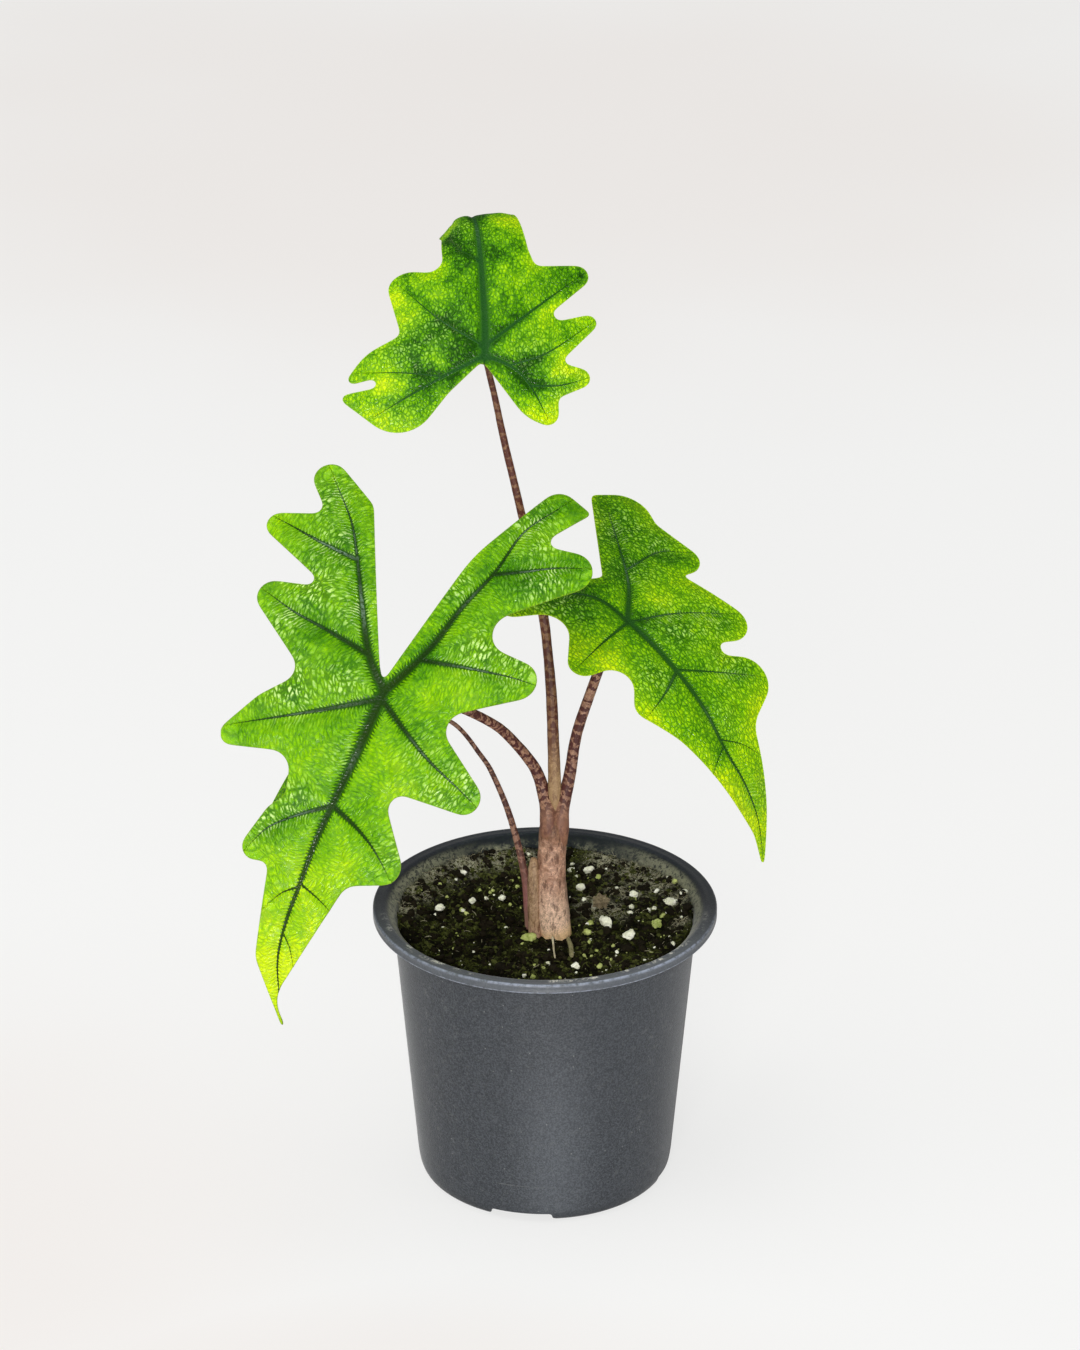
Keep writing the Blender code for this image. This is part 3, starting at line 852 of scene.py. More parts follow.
@dataclass(frozen=True)
class PotPlastic(Finish):
    """Charcoal nursery-pot plastic with a fine grain and dust, painted highlights and shade on its rim, a
    painted sheen down its front and painted shade inside.
    """

    dark: Rgb = tint(42, 45, 50)
    light: Rgb = tint(52, 56, 62)
    pale: Rgb = tint(104, 109, 116)
    dust: Rgb = tint(176, 178, 172)
    grit: Rgb = tint(226, 224, 212)
    edge_highlight: Rgb = tint(160, 168, 186)
    painted_shade: Rgb = tint(22, 27, 34)
    algae: Rgb = tint(142, 142, 116)

    def dress(self, bench: Bench) -> dict[str, Feed]:
        """Wires the plastic, then its dust, the painted shade and highlights on its rim, the painted shade
        inside it and the crust there.

        Args:
            bench: the material's bench.

        Returns:
            The shader's inputs by name.
        """
        place = bench.place()
        axes = bench.split(place)
        radius = bench.calc("SQRT", axes.x * axes.x + axes.y * axes.y)
        front = bench.ease(axes.y, 5.0, -38.0)
        sides = bench.ease(bench.calc("ABSOLUTE", axes.x), 16.0, 42.0)
        rim = bench.ease(axes.z, 84.0, 88.5)
        patches = bench.use(mottle, place=place, size=26.0, contrast=1.6).patches
        streaks = bench.cloud(bench.stretched(place, (1.0, 1.0, 0.05)), 0.5, 3.0, 0.6)
        salt = bench.patchy(place, 1.6, 3.0, 0.85, low=0.42, high=0.60)
        # A painted sheen: a soft pale band down the middle of the front, stronger towards the bottom.
        low_front = bench.ease(axes.y, 0.0, -30.0) * bench.ease(axes.z, 82.0, 20.0)
        painted_sheen = bench.near(axes.x, 3.0, 17.0) * low_front
        dots = bench.use(specks, place=place, spacing=2.6, radius=0.11, share=0.3).specks
        film = bench.patchy(place, 0.35, 5.0, 0.75, low=0.52, high=0.78)
        scuffs = bench.patchy(bench.stretched(place, (0.06, 0.06, 1.2)), 1.0, 3.0, 0.7, low=0.66, high=0.74)
        # Dust specks and a thin dust film; the film is laid on thicker over the rim and towards the left and
        # right sides, as a painted sheen where the wall turns away.
        dust_and_edge_sheen = bench.larger(dots * 0.35, film * (bench.larger(rim, sides) * 0.18 + 0.06))
        dust_and_edge_sheen = bench.larger(dust_and_edge_sheen, scuffs * bench.near(axes.z, 12.0, 14.0) * 0.28)
        # Painted highlights: thin pale lines along the rim's top outer edge and its lower edge, in broken
        # patches, at the front.
        inner_edge = bench.near(radius, 52.2, 0.5) * bench.ease(axes.z, 88.4, 89.0)
        outer_edge = bench.near(axes.z, 86.7, 0.5) * bench.ease(radius, 51.2, 52.0)
        painted_edge_highlights = bench.larger(inner_edge, outer_edge) * bench.patchy(place, 0.6, 4.0, 0.7, low=0.30, high=0.62)
        ledge = bench.near(radius, 49.3, 2.2) * bench.ease(axes.z, 87.6, 88.4)
        crumbs = bench.patchy(place, 0.9, 4.0, 0.75, low=0.50, high=0.56)
        crumbs = crumbs * bench.patchy(place, 0.14, 2.0, 0.5, low=0.46, high=0.54)
        inside = bench.attribute("inside") * 0.85
        bloom = bench.patchy(place, 0.22, 5.0, 0.8, low=0.46, high=0.66) * bench.ease(axes.z, 88.5, 85.5)
        crust = bench.patchy(place, 0.8, 4.0, 0.8, low=0.38, high=0.54) * sides
        crust = crust * bench.ease(axes.z, 89.2, 87.6)
        colour = bench.coats(
            self.dark,
            (streaks * 0.5 + patches * 0.5, self.light),
            (salt * 0.36 + painted_sheen * 0.26, self.pale),
            (dust_and_edge_sheen, self.dust),
            # Darker towards the bottom: painted shade at the foot.
            (bench.ease(axes.z, 5.0, 0.5) * 0.5, self.painted_shade),
            # Painted shade over the rim at the back, and a painted highlight over it at the front.
            (rim * (1.0 - front) * 0.7, self.painted_shade),
            (rim * front * 0.5, self.pale),
            (painted_edge_highlights * front * 0.8, self.edge_highlight),
            (ledge * crumbs * front * 0.9, self.grit),
            # Painted shade inside the pot.
            (inside, self.painted_shade),
            (inside * bench.larger(bloom, crust), self.algae),
        )
        return {
            "Base_Color": colour,
            "Normal": bench.bump(bench.use(fine_grain, place=place, size=0.5).height, 0.09),
            "Roughness": film * 0.12 + 0.44,
            "Sheen_Weight": 0.27,
            "Sheen_Roughness": 0.4,
        }


@dataclass(frozen=True)
class Peat(Finish):
    """Dark, damp peat with moss and pale dust worked into it."""

    black: Rgb = tint(8, 8, 5)
    brown: Rgb = tint(28, 25, 15)
    moss: Rgb = tint(78, 84, 34)
    ash: Rgb = tint(182, 180, 154)

    def dress(self, bench: Bench) -> dict[str, Feed]:
        """Wires the peat with its moss, specks and pale bloom.

        Args:
            bench: the material's bench.

        Returns:
            The shader's inputs by name.
        """
        place = bench.place()
        patches = bench.use(mottle, place=place, size=2.4, contrast=2.6).patches
        mossy = bench.ease(bench.cloud(place, 0.13, 4.0, 0.7, 0.5), 0.44, 0.60)
        fuzz = bench.patchy(place, 1.6, 3.0, 0.7, low=0.42, high=0.62)
        dots = bench.use(specks, place=place, spacing=1.0, radius=0.24, share=0.2).specks
        bloom = bench.attribute("fluff") * bench.patchy(place, 1.0, 4.0, 0.8, low=0.42, high=0.60)
        colour = bench.coats(
            self.black,
            (patches, self.brown),
            (mossy * (fuzz * 0.75 + 0.08), self.moss),
            (dots * 0.7, self.ash),
            (bloom * 0.9, self.ash),
        )
        return {
            "Base_Color": colour,
            "Normal": bench.bump(bench.use(fine_grain, place=place, size=0.4).height, 0.6),
            "Roughness": patches * -0.2 + 0.95,
            "Specular_IOR_Level": 0.1,
        }


@dataclass(frozen=True)
class Mineral(Finish):
    """A dry crumb, such as perlite, bark, peat or moss: a ground colour with a second one worked in."""

    ground: Rgb
    second: Rgb
    pit: Rgb
    size: float = 1.2
    depth: float = 0.25

    def dress(self, bench: Bench) -> dict[str, Feed]:
        """Wires the two colours and the dark pits.

        Args:
            bench: the material's bench.

        Returns:
            The shader's inputs by name.
        """
        place = bench.place()
        patches = bench.use(mottle, place=place, size=self.size * 2, contrast=2.6).patches
        pits = bench.use(specks, place=place, spacing=self.size * 0.5, radius=0.3, share=0.4).specks
        grain = bench.use(fine_grain, place=place, size=self.size * 0.4).height
        return {
            "Base_Color": bench.coats(self.ground, (patches, self.second), (pits * 0.5, self.pit)),
            "Normal": bench.bump(grain - pits * 0.5, self.depth),
            "Roughness": pits * 0.1 + 0.82,
            "Specular_IOR_Level": 0.2,
        }


POT_PLASTIC = PotPlastic("charcoal_plastic")
PEAT = Peat("peat_and_moss")
FRONT_SKIN = LeafSkin("front_leaf_skin")
RIGHT_SKIN = LeafSkin(
    "right_leaf_skin", net_paint=0.40, broad=0.60, flecks=0.60, fleck_scale=1.0, painted_glint_strength=0.62, cell=1.6,
    draw=0.95, quilt=0.20, vein=tint(30, 72, 22), fringe=tint(46, 98, 10), margin=tint(176, 206, 16),
    combed=False,
)
TOP_SKIN = LeafSkin(
    "top_leaf_skin", feather=0.5, rib_paint=0.10, net_paint=0.33, broad=1.05, flecks=0.70, fleck_scale=1.0,
    painted_glint_strength=0.42, cell=1.5, draw=1.1, quilt=0.18, vein=tint(30, 76, 26), fringe=tint(48, 102, 16),
    margin=tint(150, 184, 30), combed=False,
)
UNDER_SKIN = LeafSkin("leaf_under_skin", side=LeafSide.UNDER)
STALK_SKIN = StalkSkin(
    "stalk_skin", ground=tint(178, 138, 112), band=tint(74, 32, 32), strength=0.95,
    foot=tint(154, 110, 84), low=tint(150, 107, 84), low_end=13.0, specks=0.75,
)
TALL_STALK_SKIN = StalkSkin(
    "tall_stalk_skin", ground=tint(150, 112, 80), second=tint(112, 76, 52), band=tint(84, 42, 34),
    low=tint(178, 146, 106), foot=tint(170, 138, 98), low_end=30.0, strength=0.95, specks=0.75,
)
SMALL_STALK_SKIN = StalkSkin(
    "small_stalk_skin", ground=tint(166, 128, 108), band=tint(66, 30, 30), low=tint(158, 104, 98),
    foot=tint(150, 112, 98), low_end=24.0,
)
STEM_SKIN = StalkSkin(
    "sheathed_stem_skin", ground=tint(234, 190, 162), second=tint(164, 114, 86), band=tint(62, 28, 18),
    spacing=3.0, strength=0.35, foot=tint(252, 212, 160), low=tint(250, 212, 182), low_end=20.0,
    specks=0.88, crown=tint(124, 84, 56), crown_start=36.0,
)
SHEATH_SKIN = StalkSkin(
    "old_sheath_skin", ground=tint(206, 170, 136), second=tint(140, 112, 76), band=tint(86, 52, 34),
    strength=0.25, foot=tint(214, 172, 142), low=tint(212, 172, 144), specks=0.90,
)
PERLITE_SKIN = Mineral("perlite_skin", tint(255, 254, 242), tint(226, 226, 192), tint(124, 122, 92))
GREEN_CRUMB_SKIN = Mineral("algae_crumb_skin", tint(206, 212, 138), tint(136, 152, 62), tint(70, 80, 34))
BARK_SKIN = Mineral("bark_skin", tint(184, 168, 136), tint(84, 70, 46), tint(22, 17, 10), 0.45, 0.6)
DRY_STICK_SKIN = Mineral("dry_stick_skin", tint(164, 156, 118), tint(104, 98, 66), tint(50, 44, 28), 0.9)
PEAT_CRUMB_SKIN = Mineral("peat_crumb_skin", tint(38, 32, 20), tint(12, 11, 7), tint(6, 6, 4))
MOSS_SKIN = Mineral("moss_skin", tint(94, 98, 48), tint(24, 30, 12), tint(12, 16, 6), 0.8)
FIBRE_SKIN = Mineral("fibre_skin", tint(190, 184, 156), tint(118, 112, 84), tint(50, 48, 34), 0.8)
PALE_ROOT_SKIN = Mineral("pale_root_skin", tint(206, 196, 170), tint(160, 146, 112), tint(90, 76, 52))


# Pot and soil


def rounded(profile: Profile, radius: float, steps: int = 3) -> Profile:
    """A profile with its inner corners rounded.

    Args:
        profile: (radius, z) points.
        radius: how far the rounding starts from a corner, at most.
        steps: how many pieces each corner's arc has.

    Returns:
        The profile's new points.
    """
    points = [profile[0]]
    for before, here, after in zip(profile, profile[1:], profile[2:]):
        a, b, c = Vector(before), Vector(here), Vector(after)
        reach = min(radius, (a - b).length * 0.4, (c - b).length * 0.4)
        start, end = b + (a - b).normalized() * reach, b + (c - b).normalized() * reach
        for t in (step / steps for step in range(steps + 1)):
            points.append(tuple((1 - t) ** 2 * start + 2 * t * (1 - t) * b + t * t * end))
    return [*points, profile[-1]]


def turned(profile: Profile, sides: int) -> bpy.types.Object:
    """A ring drawn out ring by ring along a profile, with both ends closed flat.

    Args:
        profile: (radius, z) of each ring.
        sides: how many sides the rings have.

    Returns:
        The object.
    """
    radius, z = profile[0]
    bpy.ops.mesh.primitive_circle_add(
        vertices=sides, radius=radius * MM, location=(0, 0, z * MM), fill_type="NGON"
    )
    obj = bpy.context.object
    apply_place(obj)
    with edit_mode(obj):
        for next_radius, next_z in profile[1:]:
            extrude(0, 0, next_z - z)
            share = next_radius / radius
            bpy.ops.transform.resize(value=(share, share, 1), center_override=(0, 0, next_z * MM))
            radius, z = next_radius, next_z
        face_out()
    return obj


@dataclass
class NurseryPot:
    """The round pot: a tapered wall, a broad rolled rim, and four channels with drain holes underneath."""

    height: float = 89.5
    rim_radius: float = 52.5
    rim_ring: float = 3.8
    rim_band: float = 3.0
    rim_inside: tuple = (48.4, 84.5)  # (radius, lowest z) of the rim's inner face
    neck: float = 2.5
    wall: float = 1.3
    foot_radius: float = 39.3
    foot_z: float = 6.0
    flare: float = 6.7
    flare_height: float = 75.5
    base_radius: float = 36.9
    floor_z: float = 4.2
    channels: int = 4
    channel_turn: float = math.radians(-101.0)
    channel_width: float = 19.0
    channel_height: float = 2.8
    channel_lip: float = 1.3
    channel_start: float = 13.0
    drain_radius: float = 3.5
    drain_place: float = 25.0
    sides: int = 160

    def wall_radius(self, z: float | np.ndarray) -> float | np.ndarray:
        """The wall's outer radius at this height."""
        return self.foot_radius + self.flare * (z - self.foot_z) / self.flare_height

    def profile(self) -> Profile:
        """The pot's section: from the floor's middle up the inside, over the rim and down to the underside.

        Returns:
            Its (radius, z) points.
        """
        rim, top = self.rim_radius, self.height
        ring, under = rim - self.rim_ring, top - self.rim_band
        neck = under - self.neck
        outer = self.wall_radius(neck)
        inner = outer - self.wall
        rings = [(self.wall_radius(z), z) for z in (self.foot_z, 22.0, 38.0, 54.0, 70.0)]
        body = [
            (1.0, self.floor_z),
            (self.wall_radius(self.floor_z) - self.wall - 2.0, self.floor_z),
            *((radius - self.wall, z) for radius, z in rings),
            (inner, neck),
            (inner + 0.9, neck + 2.4),
            (ring - 0.7, top - 0.9),
            (ring + 0.3, top),
            (ring + 1.9, top - 0.12),
            (rim - 0.5, top),
            (rim, top - 0.5),
            (rim - 0.12, top - 1.6),
            (rim, under + 0.3),
            (rim - 0.3, under),
            (rim - 1.0, under),
            (rim - 1.2, top - 1.2),
            (ring + 0.3, top - 1.6),
            (outer + 0.9, neck + 2.0),
            (outer, neck),
            *reversed(rings),
            (self.wall_radius(3.0) - 0.2, 3.0),
            (self.base_radius + 1.2, 1.1),
            (self.base_radius, 0.01),
            (1.0, 0.01),
        ]
        return rounded(body, 0.9)

    def cutter(self, index: int) -> bpy.types.Object:
        """One drainage channel with its hole, as a shape to cut away.

        Args:
            index: which of the channels.

        Returns:
            The shape.
        """
        length = self.rim_radius - self.channel_start
        middle, top, lip = self.channel_start + length / 2, self.channel_height, self.channel_lip
        bpy.ops.mesh.primitive_cube_add(size=1.0, location=(middle * MM, 0, (top + lip) / 2 * MM))
        channel = bpy.context.object
        channel.scale = (length * MM, self.channel_width * MM, (top - lip) * MM)
        apply_place(channel)
        select_points(channel, points_of(channel)[:, 2] > lip + 0.1)
        with edit_mode(channel, None):
            bpy.ops.mesh.bevel(offset=1.0 * MM, segments=4, profile=0.5)
        select_points(channel, points_of(channel)[:, 2] < lip + 0.05)
        with edit_mode(channel, None):
            for drop, share in ((0.55, 1.04), (0.45, 1.07), (0.25, 1.10), (0.8, 1.35)):
                extrude(0, 0, -drop)
                bpy.ops.transform.resize(value=(1, share, 1), center_override=(middle * MM, 0, 0))
        drain = (self.drain_place * MM, 0, self.floor_z * MM)
        bpy.ops.mesh.primitive_cylinder_add(
            vertices=32, radius=self.drain_radius * MM, depth=6 * MM, location=drain
        )
        combine(channel, bpy.context.object, "UNION")
        channel.rotation_euler.z = self.channel_turn + index * math.tau / self.channels
        apply_place(channel)
        return channel

    def build(self) -> None:
        """Builds the pot and hangs it in the frame."""
        pot = turned(self.profile(), self.sides)
        for index in range(self.channels):
            combine(pot, self.cutter(index), "DIFFERENCE")
        x, y, z = points_of(pot).T
        rim_radius, rim_z = self.rim_inside
        skin = np.where(z > rim_z, rim_radius, self.wall_radius(z) - self.wall / 2)
        point_values(pot, inside=(np.hypot(x, y) < skin) & (z > self.floor_z - 0.2))
        seat(pot, "nursery_pot", "pot_plastic", [POT_PLASTIC], ["pot"], crease=30.0)


@dataclass
class PottingSoil:
    """The peat in the pot: uneven, heaped against the wall and sunk round the stem."""

    radius: float = 44.4
    edge_z: float = 83.3
    top_z: float = 87.0
    crown: float = 0.9
    crown_radius: float = 46.2
    settled: float = 0.55
    cell: float = 0.42
    depth: float = 9.0
    seed: int = 11
    stem: tuple = (3.0, -7.2, 7.5)  # (x, y, radius) of the hollow round the stem
    hollow: float = 1.1
    banks: tuple = (  # (turn, spread, height) of the heaps against the wall
        (2.4, 0.75, 3.8), (0.55, 0.70, 3.4), (1.5, 0.5, 2.0), (-2.9, 0.6, 3.0), (-0.25, 0.6, 3.0),
    )
    bank_start: float = 33.0
    bank_width: float = 11.0
    lean: float = 0.011  # how far a heap leans out for each millimetre of its height
    lean_place: tuple = (44.0, 84.0)  # (radius, z) from which it leans
    fluff: tuple = (  # (x, y, spread) of the patches of pale fibres
        (15, 9, 6), (20, 5, 4), (-25, 34, 5), (-34, 26, 5), (-39.5, 15, 4), (-15, 39, 4.5), (-42.5, 3, 3),
        (-5, 40, 3), (18, 37, 5), (28, 30, 5.5), (36, 22, 5), (27, 17, 3), (41, 10, 3.5), (17, 7, 4),
        (22, 20, 3), (41.5, -6, 2),
    )

    def ground(self, x: float, y: float) -> float:
        """Height of the uneven surface.

        Args:
            x: the place's first coordinate.
            y: its second one.

        Returns:
            The height.
        """
        share = min(1.0, math.hypot(x, y) / self.crown_radius)
        level = self.edge_z + self.crown * (1 - share * share)
        here = Vector((x, y, self.seed))
        lumps = noise.fractal(here / 5.5, 0.9, 2.1, 4) * 0.75
        crumbs = (0.5 - noise.voronoi(here / 1.9)[0][0]) * 0.75 + noise.noise(here / 0.8) * 0.24
        heading = math.atan2(y, x)
        heaped = sum(
            height * math.exp(-((math.remainder(heading - turn, math.tau) / spread) ** 2))
            for turn, spread, height in self.banks
        )
        out = (share * self.crown_radius - self.bank_start) / self.bank_width
        heaped *= min(1.0, max(0.0, out)) ** 1.5
        near = math.hypot(x - self.stem[0], y - self.stem[1]) / self.stem[2]
        return level + lumps + crumbs + heaped - self.settled - self.hollow * math.exp(-near * near * 1.3)

    def build(self) -> None:
        """Builds the soil's surface with its skirt inside the pot, and hangs it in the frame."""
        count = int(2 * self.radius / self.cell)
        bpy.ops.mesh.primitive_grid_add(x_subdivisions=count, y_subdivisions=count, size=2 * self.radius * MM)
        soil = bpy.context.object
        select_points(soil, np.hypot(*points_of(soil)[:, :2].T) > self.radius - self.cell)
        with edit_mode(soil, None):
            bpy.ops.mesh.delete(type="VERT")
        points = points_of(soil)
        points[:, 2] = [self.ground(x, y) for x, y in points[:, :2]]
        lean_radius, lean_z = self.lean_place
        out = (np.hypot(points[:, 0], points[:, 1]) / lean_radius) ** 8
        points[:, :2] *= (1 + self.lean * np.clip(points[:, 2] - lean_z, 0, 2.6) * out)[:, None]
        points[:, 2] = np.minimum(points[:, 2], self.top_z)
        move_points(soil, points)
        x, y = points[:, :2].T
        fuzz = sum(np.exp(-((x - u) ** 2 + (y - v) ** 2) / spread**2) for u, v, spread in self.fluff)
        point_values(soil, fluff=np.clip(fuzz, 0, 1))
        with edit_mode(soil, "DESELECT"):
            bpy.ops.mesh.select_non_manifold()
            step = (0, 0, -self.depth * MM)
            bpy.ops.mesh.extrude_edges_move(TRANSFORM_OT_translate={"value": step})
        seat(soil, "soil_surface", "peat", [PEAT], ["potting_soil"], crease=180.0)


class Crumb(Enum):
    """What lies loose on the soil."""

    PEAT = "peat_crumbs"
    MOSS = "moss_tufts"
    PALE = "pale_crumbs"
    GREEN = "green_crumbs"
    FIBRE = "soil_fibres"


def joined(copies: Sequence[bpy.types.Object]) -> bpy.types.Object:
    """Joins copies in one object.

    Args:
        copies: the copies.

    Returns:
        The object that holds them.
    """
    select_only(*copies)
    bpy.ops.object.join()
    made = bpy.context.object
    apply_place(made)
    return made


@dataclass
class LooseGrains:
    """Everything that lies on the soil: the named lumps, and hundreds of small crumbs."""

    soil: PottingSoil
    seed: int = 5
    spread: float = 43.6
    tuft_spread: float = 44.6  # how far out a tuft of fibres may reach
    tuft_fibres: int = 26  # for each millimetre of a tuft's spread
    stem: tuple = (2.5, -7.0, 6.4)  # (x, y, radius) of the ground that the stem covers
    green: tuple = ("perlite_04", "perlite_05", "perlite_06")
    placed: tuple = (  # (x, y, size, kind) of the crumbs that stand out
        (-25, 6, 0.9, Crumb.PALE), (-18, 14.5, 0.9, Crumb.PALE), (26.5, 9.5, 1, Crumb.PALE),
        (33.5, 8, 1, Crumb.PALE), (36, 2.5, 1, Crumb.GREEN), (34.5, 18, 1, Crumb.PALE),
        (42, 10, 1.1, Crumb.PALE), (43, 12.5, 0.9, Crumb.PALE), (40, 19, 1.1, Crumb.GREEN),
        (38, 23, 0.9, Crumb.PALE), (-32, -25, 1, Crumb.GREEN), (-3.5, -36, 1, Crumb.GREEN),
        (38.5, -19.5, 1, Crumb.PALE), (30, -27, 0.8, Crumb.PALE), (14, -2, 1.1, Crumb.GREEN),
        (-20, 20, 0.9, Crumb.GREEN),
    )

    def lump(self, roughness: float, level: int, seed: int) -> bpy.types.Object:
        """One broken stone of about one millimetre radius about the origin.

        Args:
            roughness: how uneven its faces are, as a share of the radius.
            level: the ball's subdivision.
            seed: which of the possible stones.

        Returns:
            The object.
        """
        bpy.ops.mesh.primitive_ico_sphere_add(subdivisions=level, radius=MM)
        made = bpy.context.object
        rng = np.random.default_rng(100 + seed)
        cuts = unit(rng.normal(size=(11, 3)))
        depths = rng.uniform(0.62, 0.98, 11)
        points = points_of(made)
        facing = np.maximum(points @ cuts.T, 1e-3)
        reach = np.minimum(1.12, (depths / facing).min(1))
        for row, size in zip(points, reach):
            broad = noise.noise(Vector(row) * 2.6 + Vector((seed, 0, 0)))
            close = noise.noise(Vector(row) * 6 + Vector((0, seed, 0)))
            row *= size * (1 + roughness * (broad + 0.5 * close))
        move_points(made, points)
        return made

    def strand(self, length: float, radius: float, steps: int = 5) -> bpy.types.Object:
        """One short curved fibre that starts at the origin.

        Args:
            length: how long it is.
            radius: how thick it is.
            steps: how many straight pieces it has.

        Returns:
            The object.
        """
        bpy.ops.mesh.primitive_circle_add(
            vertices=4, radius=radius * MM, fill_type="NGON", rotation=(0, math.pi / 2, 0)
        )
        made = bpy.context.object
        apply_place(made)
        with edit_mode(made):
            for step in range(steps):
                lift = math.sin((step + 1) / steps * math.pi) - math.sin(step / steps * math.pi)
                extrude(length / steps, lift * length * 0.16, lift * length * 0.18)
            face_out()
        return made

    def named_lumps(self, nodes: dict) -> None:
        """Builds each perlite grain and the bark lump in the place of its solid.

        Args:
            nodes: the frame's solids by name.
        """
        for index, name in enumerate(sorted(nodes)):
            bark = name == "bark_clump"
            if not (bark or name.startswith("perlite")):
                continue
            low, high = (Vector(corner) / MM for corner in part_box(name))
            made = self.lump(0.9 if bark else 0.22, 4, index * 7 + 3)
            points = points_of(made)
            span = points.max(0) - points.min(0)
            points = (points - points.min(0)) / span * np.array(high - low) + np.array(low)
            points[:, 2] -= 0.5
            move_points(made, points)
            pale = GREEN_CRUMB_SKIN if name in self.green else PERLITE_SKIN
            slot, skin = ("bark", BARK_SKIN) if bark else ("perlite", pale)
            seat(made, name + "_grain", slot, [skin], [name], crease=60.0)

    def spots(self, kind: Crumb, count: int, rng: np.random.Generator) -> Iterator[tuple]:
        """Places and sizes for one kind of crumb.

        Args:
            kind: the crumb.
            count: how many are strewn at random.
            rng: the seeded generator.

        Yields:
            x, y and a size from 0 to 1.
        """
        yield from ((x, y, size) for x, y, size, place_kind in self.placed if place_kind is kind)
        for x, y, spread in self.soil.fluff if kind is Crumb.FIBRE else ():
            for _ in range(int(spread * self.tuft_fibres)):
                tuft_x, tuft_y = x + rng.normal() * spread * 0.6, y + rng.normal() * spread * 0.6
                if math.hypot(tuft_x, tuft_y) < self.tuft_spread:
                    yield tuft_x, tuft_y, rng.uniform(0.0, 0.75)
        while count:
            radius, turn = self.spread * math.sqrt(rng.random()), rng.random() * math.tau
            x, y = radius * math.cos(turn), radius * math.sin(turn)
            if math.hypot(x - self.stem[0], y - self.stem[1]) < self.stem[2]:
                continue
            patch = noise.noise(Vector((x, y, 40 + self.seed)) / 11)
            if kind is Crumb.MOSS and patch < rng.uniform(-0.35, 0.25):
                continue
            if kind is Crumb.FIBRE and y + radius * 0.6 < rng.uniform(-40, 60):
                continue
            if kind in (Crumb.PALE, Crumb.GREEN) and -x * 0.5 - y * 0.2 > rng.uniform(-14, 40):
                continue
            count -= 1
            yield x, y, rng.random()

    def models(self, kind: Crumb) -> list[bpy.types.Object]:
        """Builds what one kind of crumb is copied from.

        Args:
            kind: the crumb.

        Returns:
            The lumps or strands.
        """
        if kind is Crumb.FIBRE:
            return [self.strand(1.0, 0.075)]
        lumps = [self.lump(0.3, 1 if kind is Crumb.MOSS else 2, self.seed + turn) for turn in range(6)]
        return lumps + [self.strand(2.4, 0.15) for _ in range(9 if kind is Crumb.MOSS else 0)]

    def scatter(
        self, kind: Crumb, slot: str, skin: Finish, count: int, sizes: tuple[float, float], flat: float
    ) -> None:
        """Copies the lumps or strands over the soil and joins the copies.

        Args:
            kind: the crumb.
            slot: the record's material slot.
            skin: its finish.
            count: how many are strewn at random.
            sizes: the smallest and largest radius, or length of a strand.
            flat: how high a lump is for its width.
        """
        rng = np.random.default_rng(self.seed + list(Crumb).index(kind))
        models, copies = self.models(kind), []
        for index, (x, y, share) in enumerate(self.spots(kind, count, rng)):
            copy = bpy.data.objects.new(kind.value, models[index % len(models)].data.copy())
            bpy.context.scene.collection.objects.link(copy)
            size = sizes[0] + (sizes[1] - sizes[0]) * share**2.2
            lean = rng.uniform(-0.7, 0.7, 2)
            spin = Euler((*lean, rng.uniform(0, math.tau))).to_matrix().to_4x4()
            wide = rng.uniform(0.7, 1.2)
            form = Vector((1.0, 0.5, 0.5) if kind is Crumb.FIBRE else (wide, 1.0, flat)) * size
            place = Vector((x, y, self.soil.ground(x, y) + size * 0.25 * flat)) * MM
            copy.data.transform(Matrix.Translation(place) @ spin @ Matrix.Diagonal(form).to_4x4())
            copies.append(copy)
        piece = joined(copies)
        for model in models:
            bpy.data.objects.remove(model, do_unlink=True)
        seat(piece, kind.value, slot, [skin], crease=50.0)

    def build(self, nodes: dict) -> None:
        """Builds all that lies on the soil.

        Args:
            nodes: the frame's solids by name.
        """
        self.named_lumps(nodes)
        self.scatter(Crumb.PEAT, "peat", PEAT_CRUMB_SKIN, 1100, (0.35, 1.7), 0.7)
        self.scatter(Crumb.MOSS, "peat", MOSS_SKIN, 2600, (0.25, 1.1), 0.9)
        self.scatter(Crumb.PALE, "perlite", PERLITE_SKIN, 80, (0.15, 0.95), 0.8)
        self.scatter(Crumb.GREEN, "perlite", GREEN_CRUMB_SKIN, 110, (0.15, 1.0), 0.8)
        self.scatter(Crumb.FIBRE, "pale_root", FIBRE_SKIN, 160, (0.9, 2.6), 1.0)


# Stems


def smooth_route(points: Sequence[tuple], step: float) -> np.ndarray:
    """A Catmull-Rom line through rows of numbers.

    Args:
        points: the rows, each starting with its place.
        step: about how far apart the line's points are.

    Returns:
        The line's rows.
    """
    rows = np.array(points, float)
    rows = np.vstack([2 * rows[0] - rows[1], rows, 2 * rows[-1] - rows[-2]])
    line = []
    for a, b, c, d in zip(rows, rows[1:], rows[2:], rows[3:]):
        count = max(2, int(np.linalg.norm((c - b)[:3]) / step))
        for t in np.arange(count) / count:
            square, cube = 2 * a - 5 * b + 4 * c - d, 3 * b - a - 3 * c + d
            line.append(0.5 * (2 * b + (c - a) * t + square * t**2 + cube * t**3))
    return np.array([*line, rows[-2]])


def skin_noise(turn: float, along: float) -> float:
    """How far a stalk's skin stands out.

    Args:
        turn: the turn round the stalk.
        along: how far along it.

    Returns:
        The height.
    """
    x, y = math.cos(turn), math.sin(turn)
    broad = noise.noise(Vector((x * 1.4, y * 1.4, along * 0.35)))
    return broad + 0.5 * noise.noise(Vector((x * 4, y * 4, along * 0.8)))


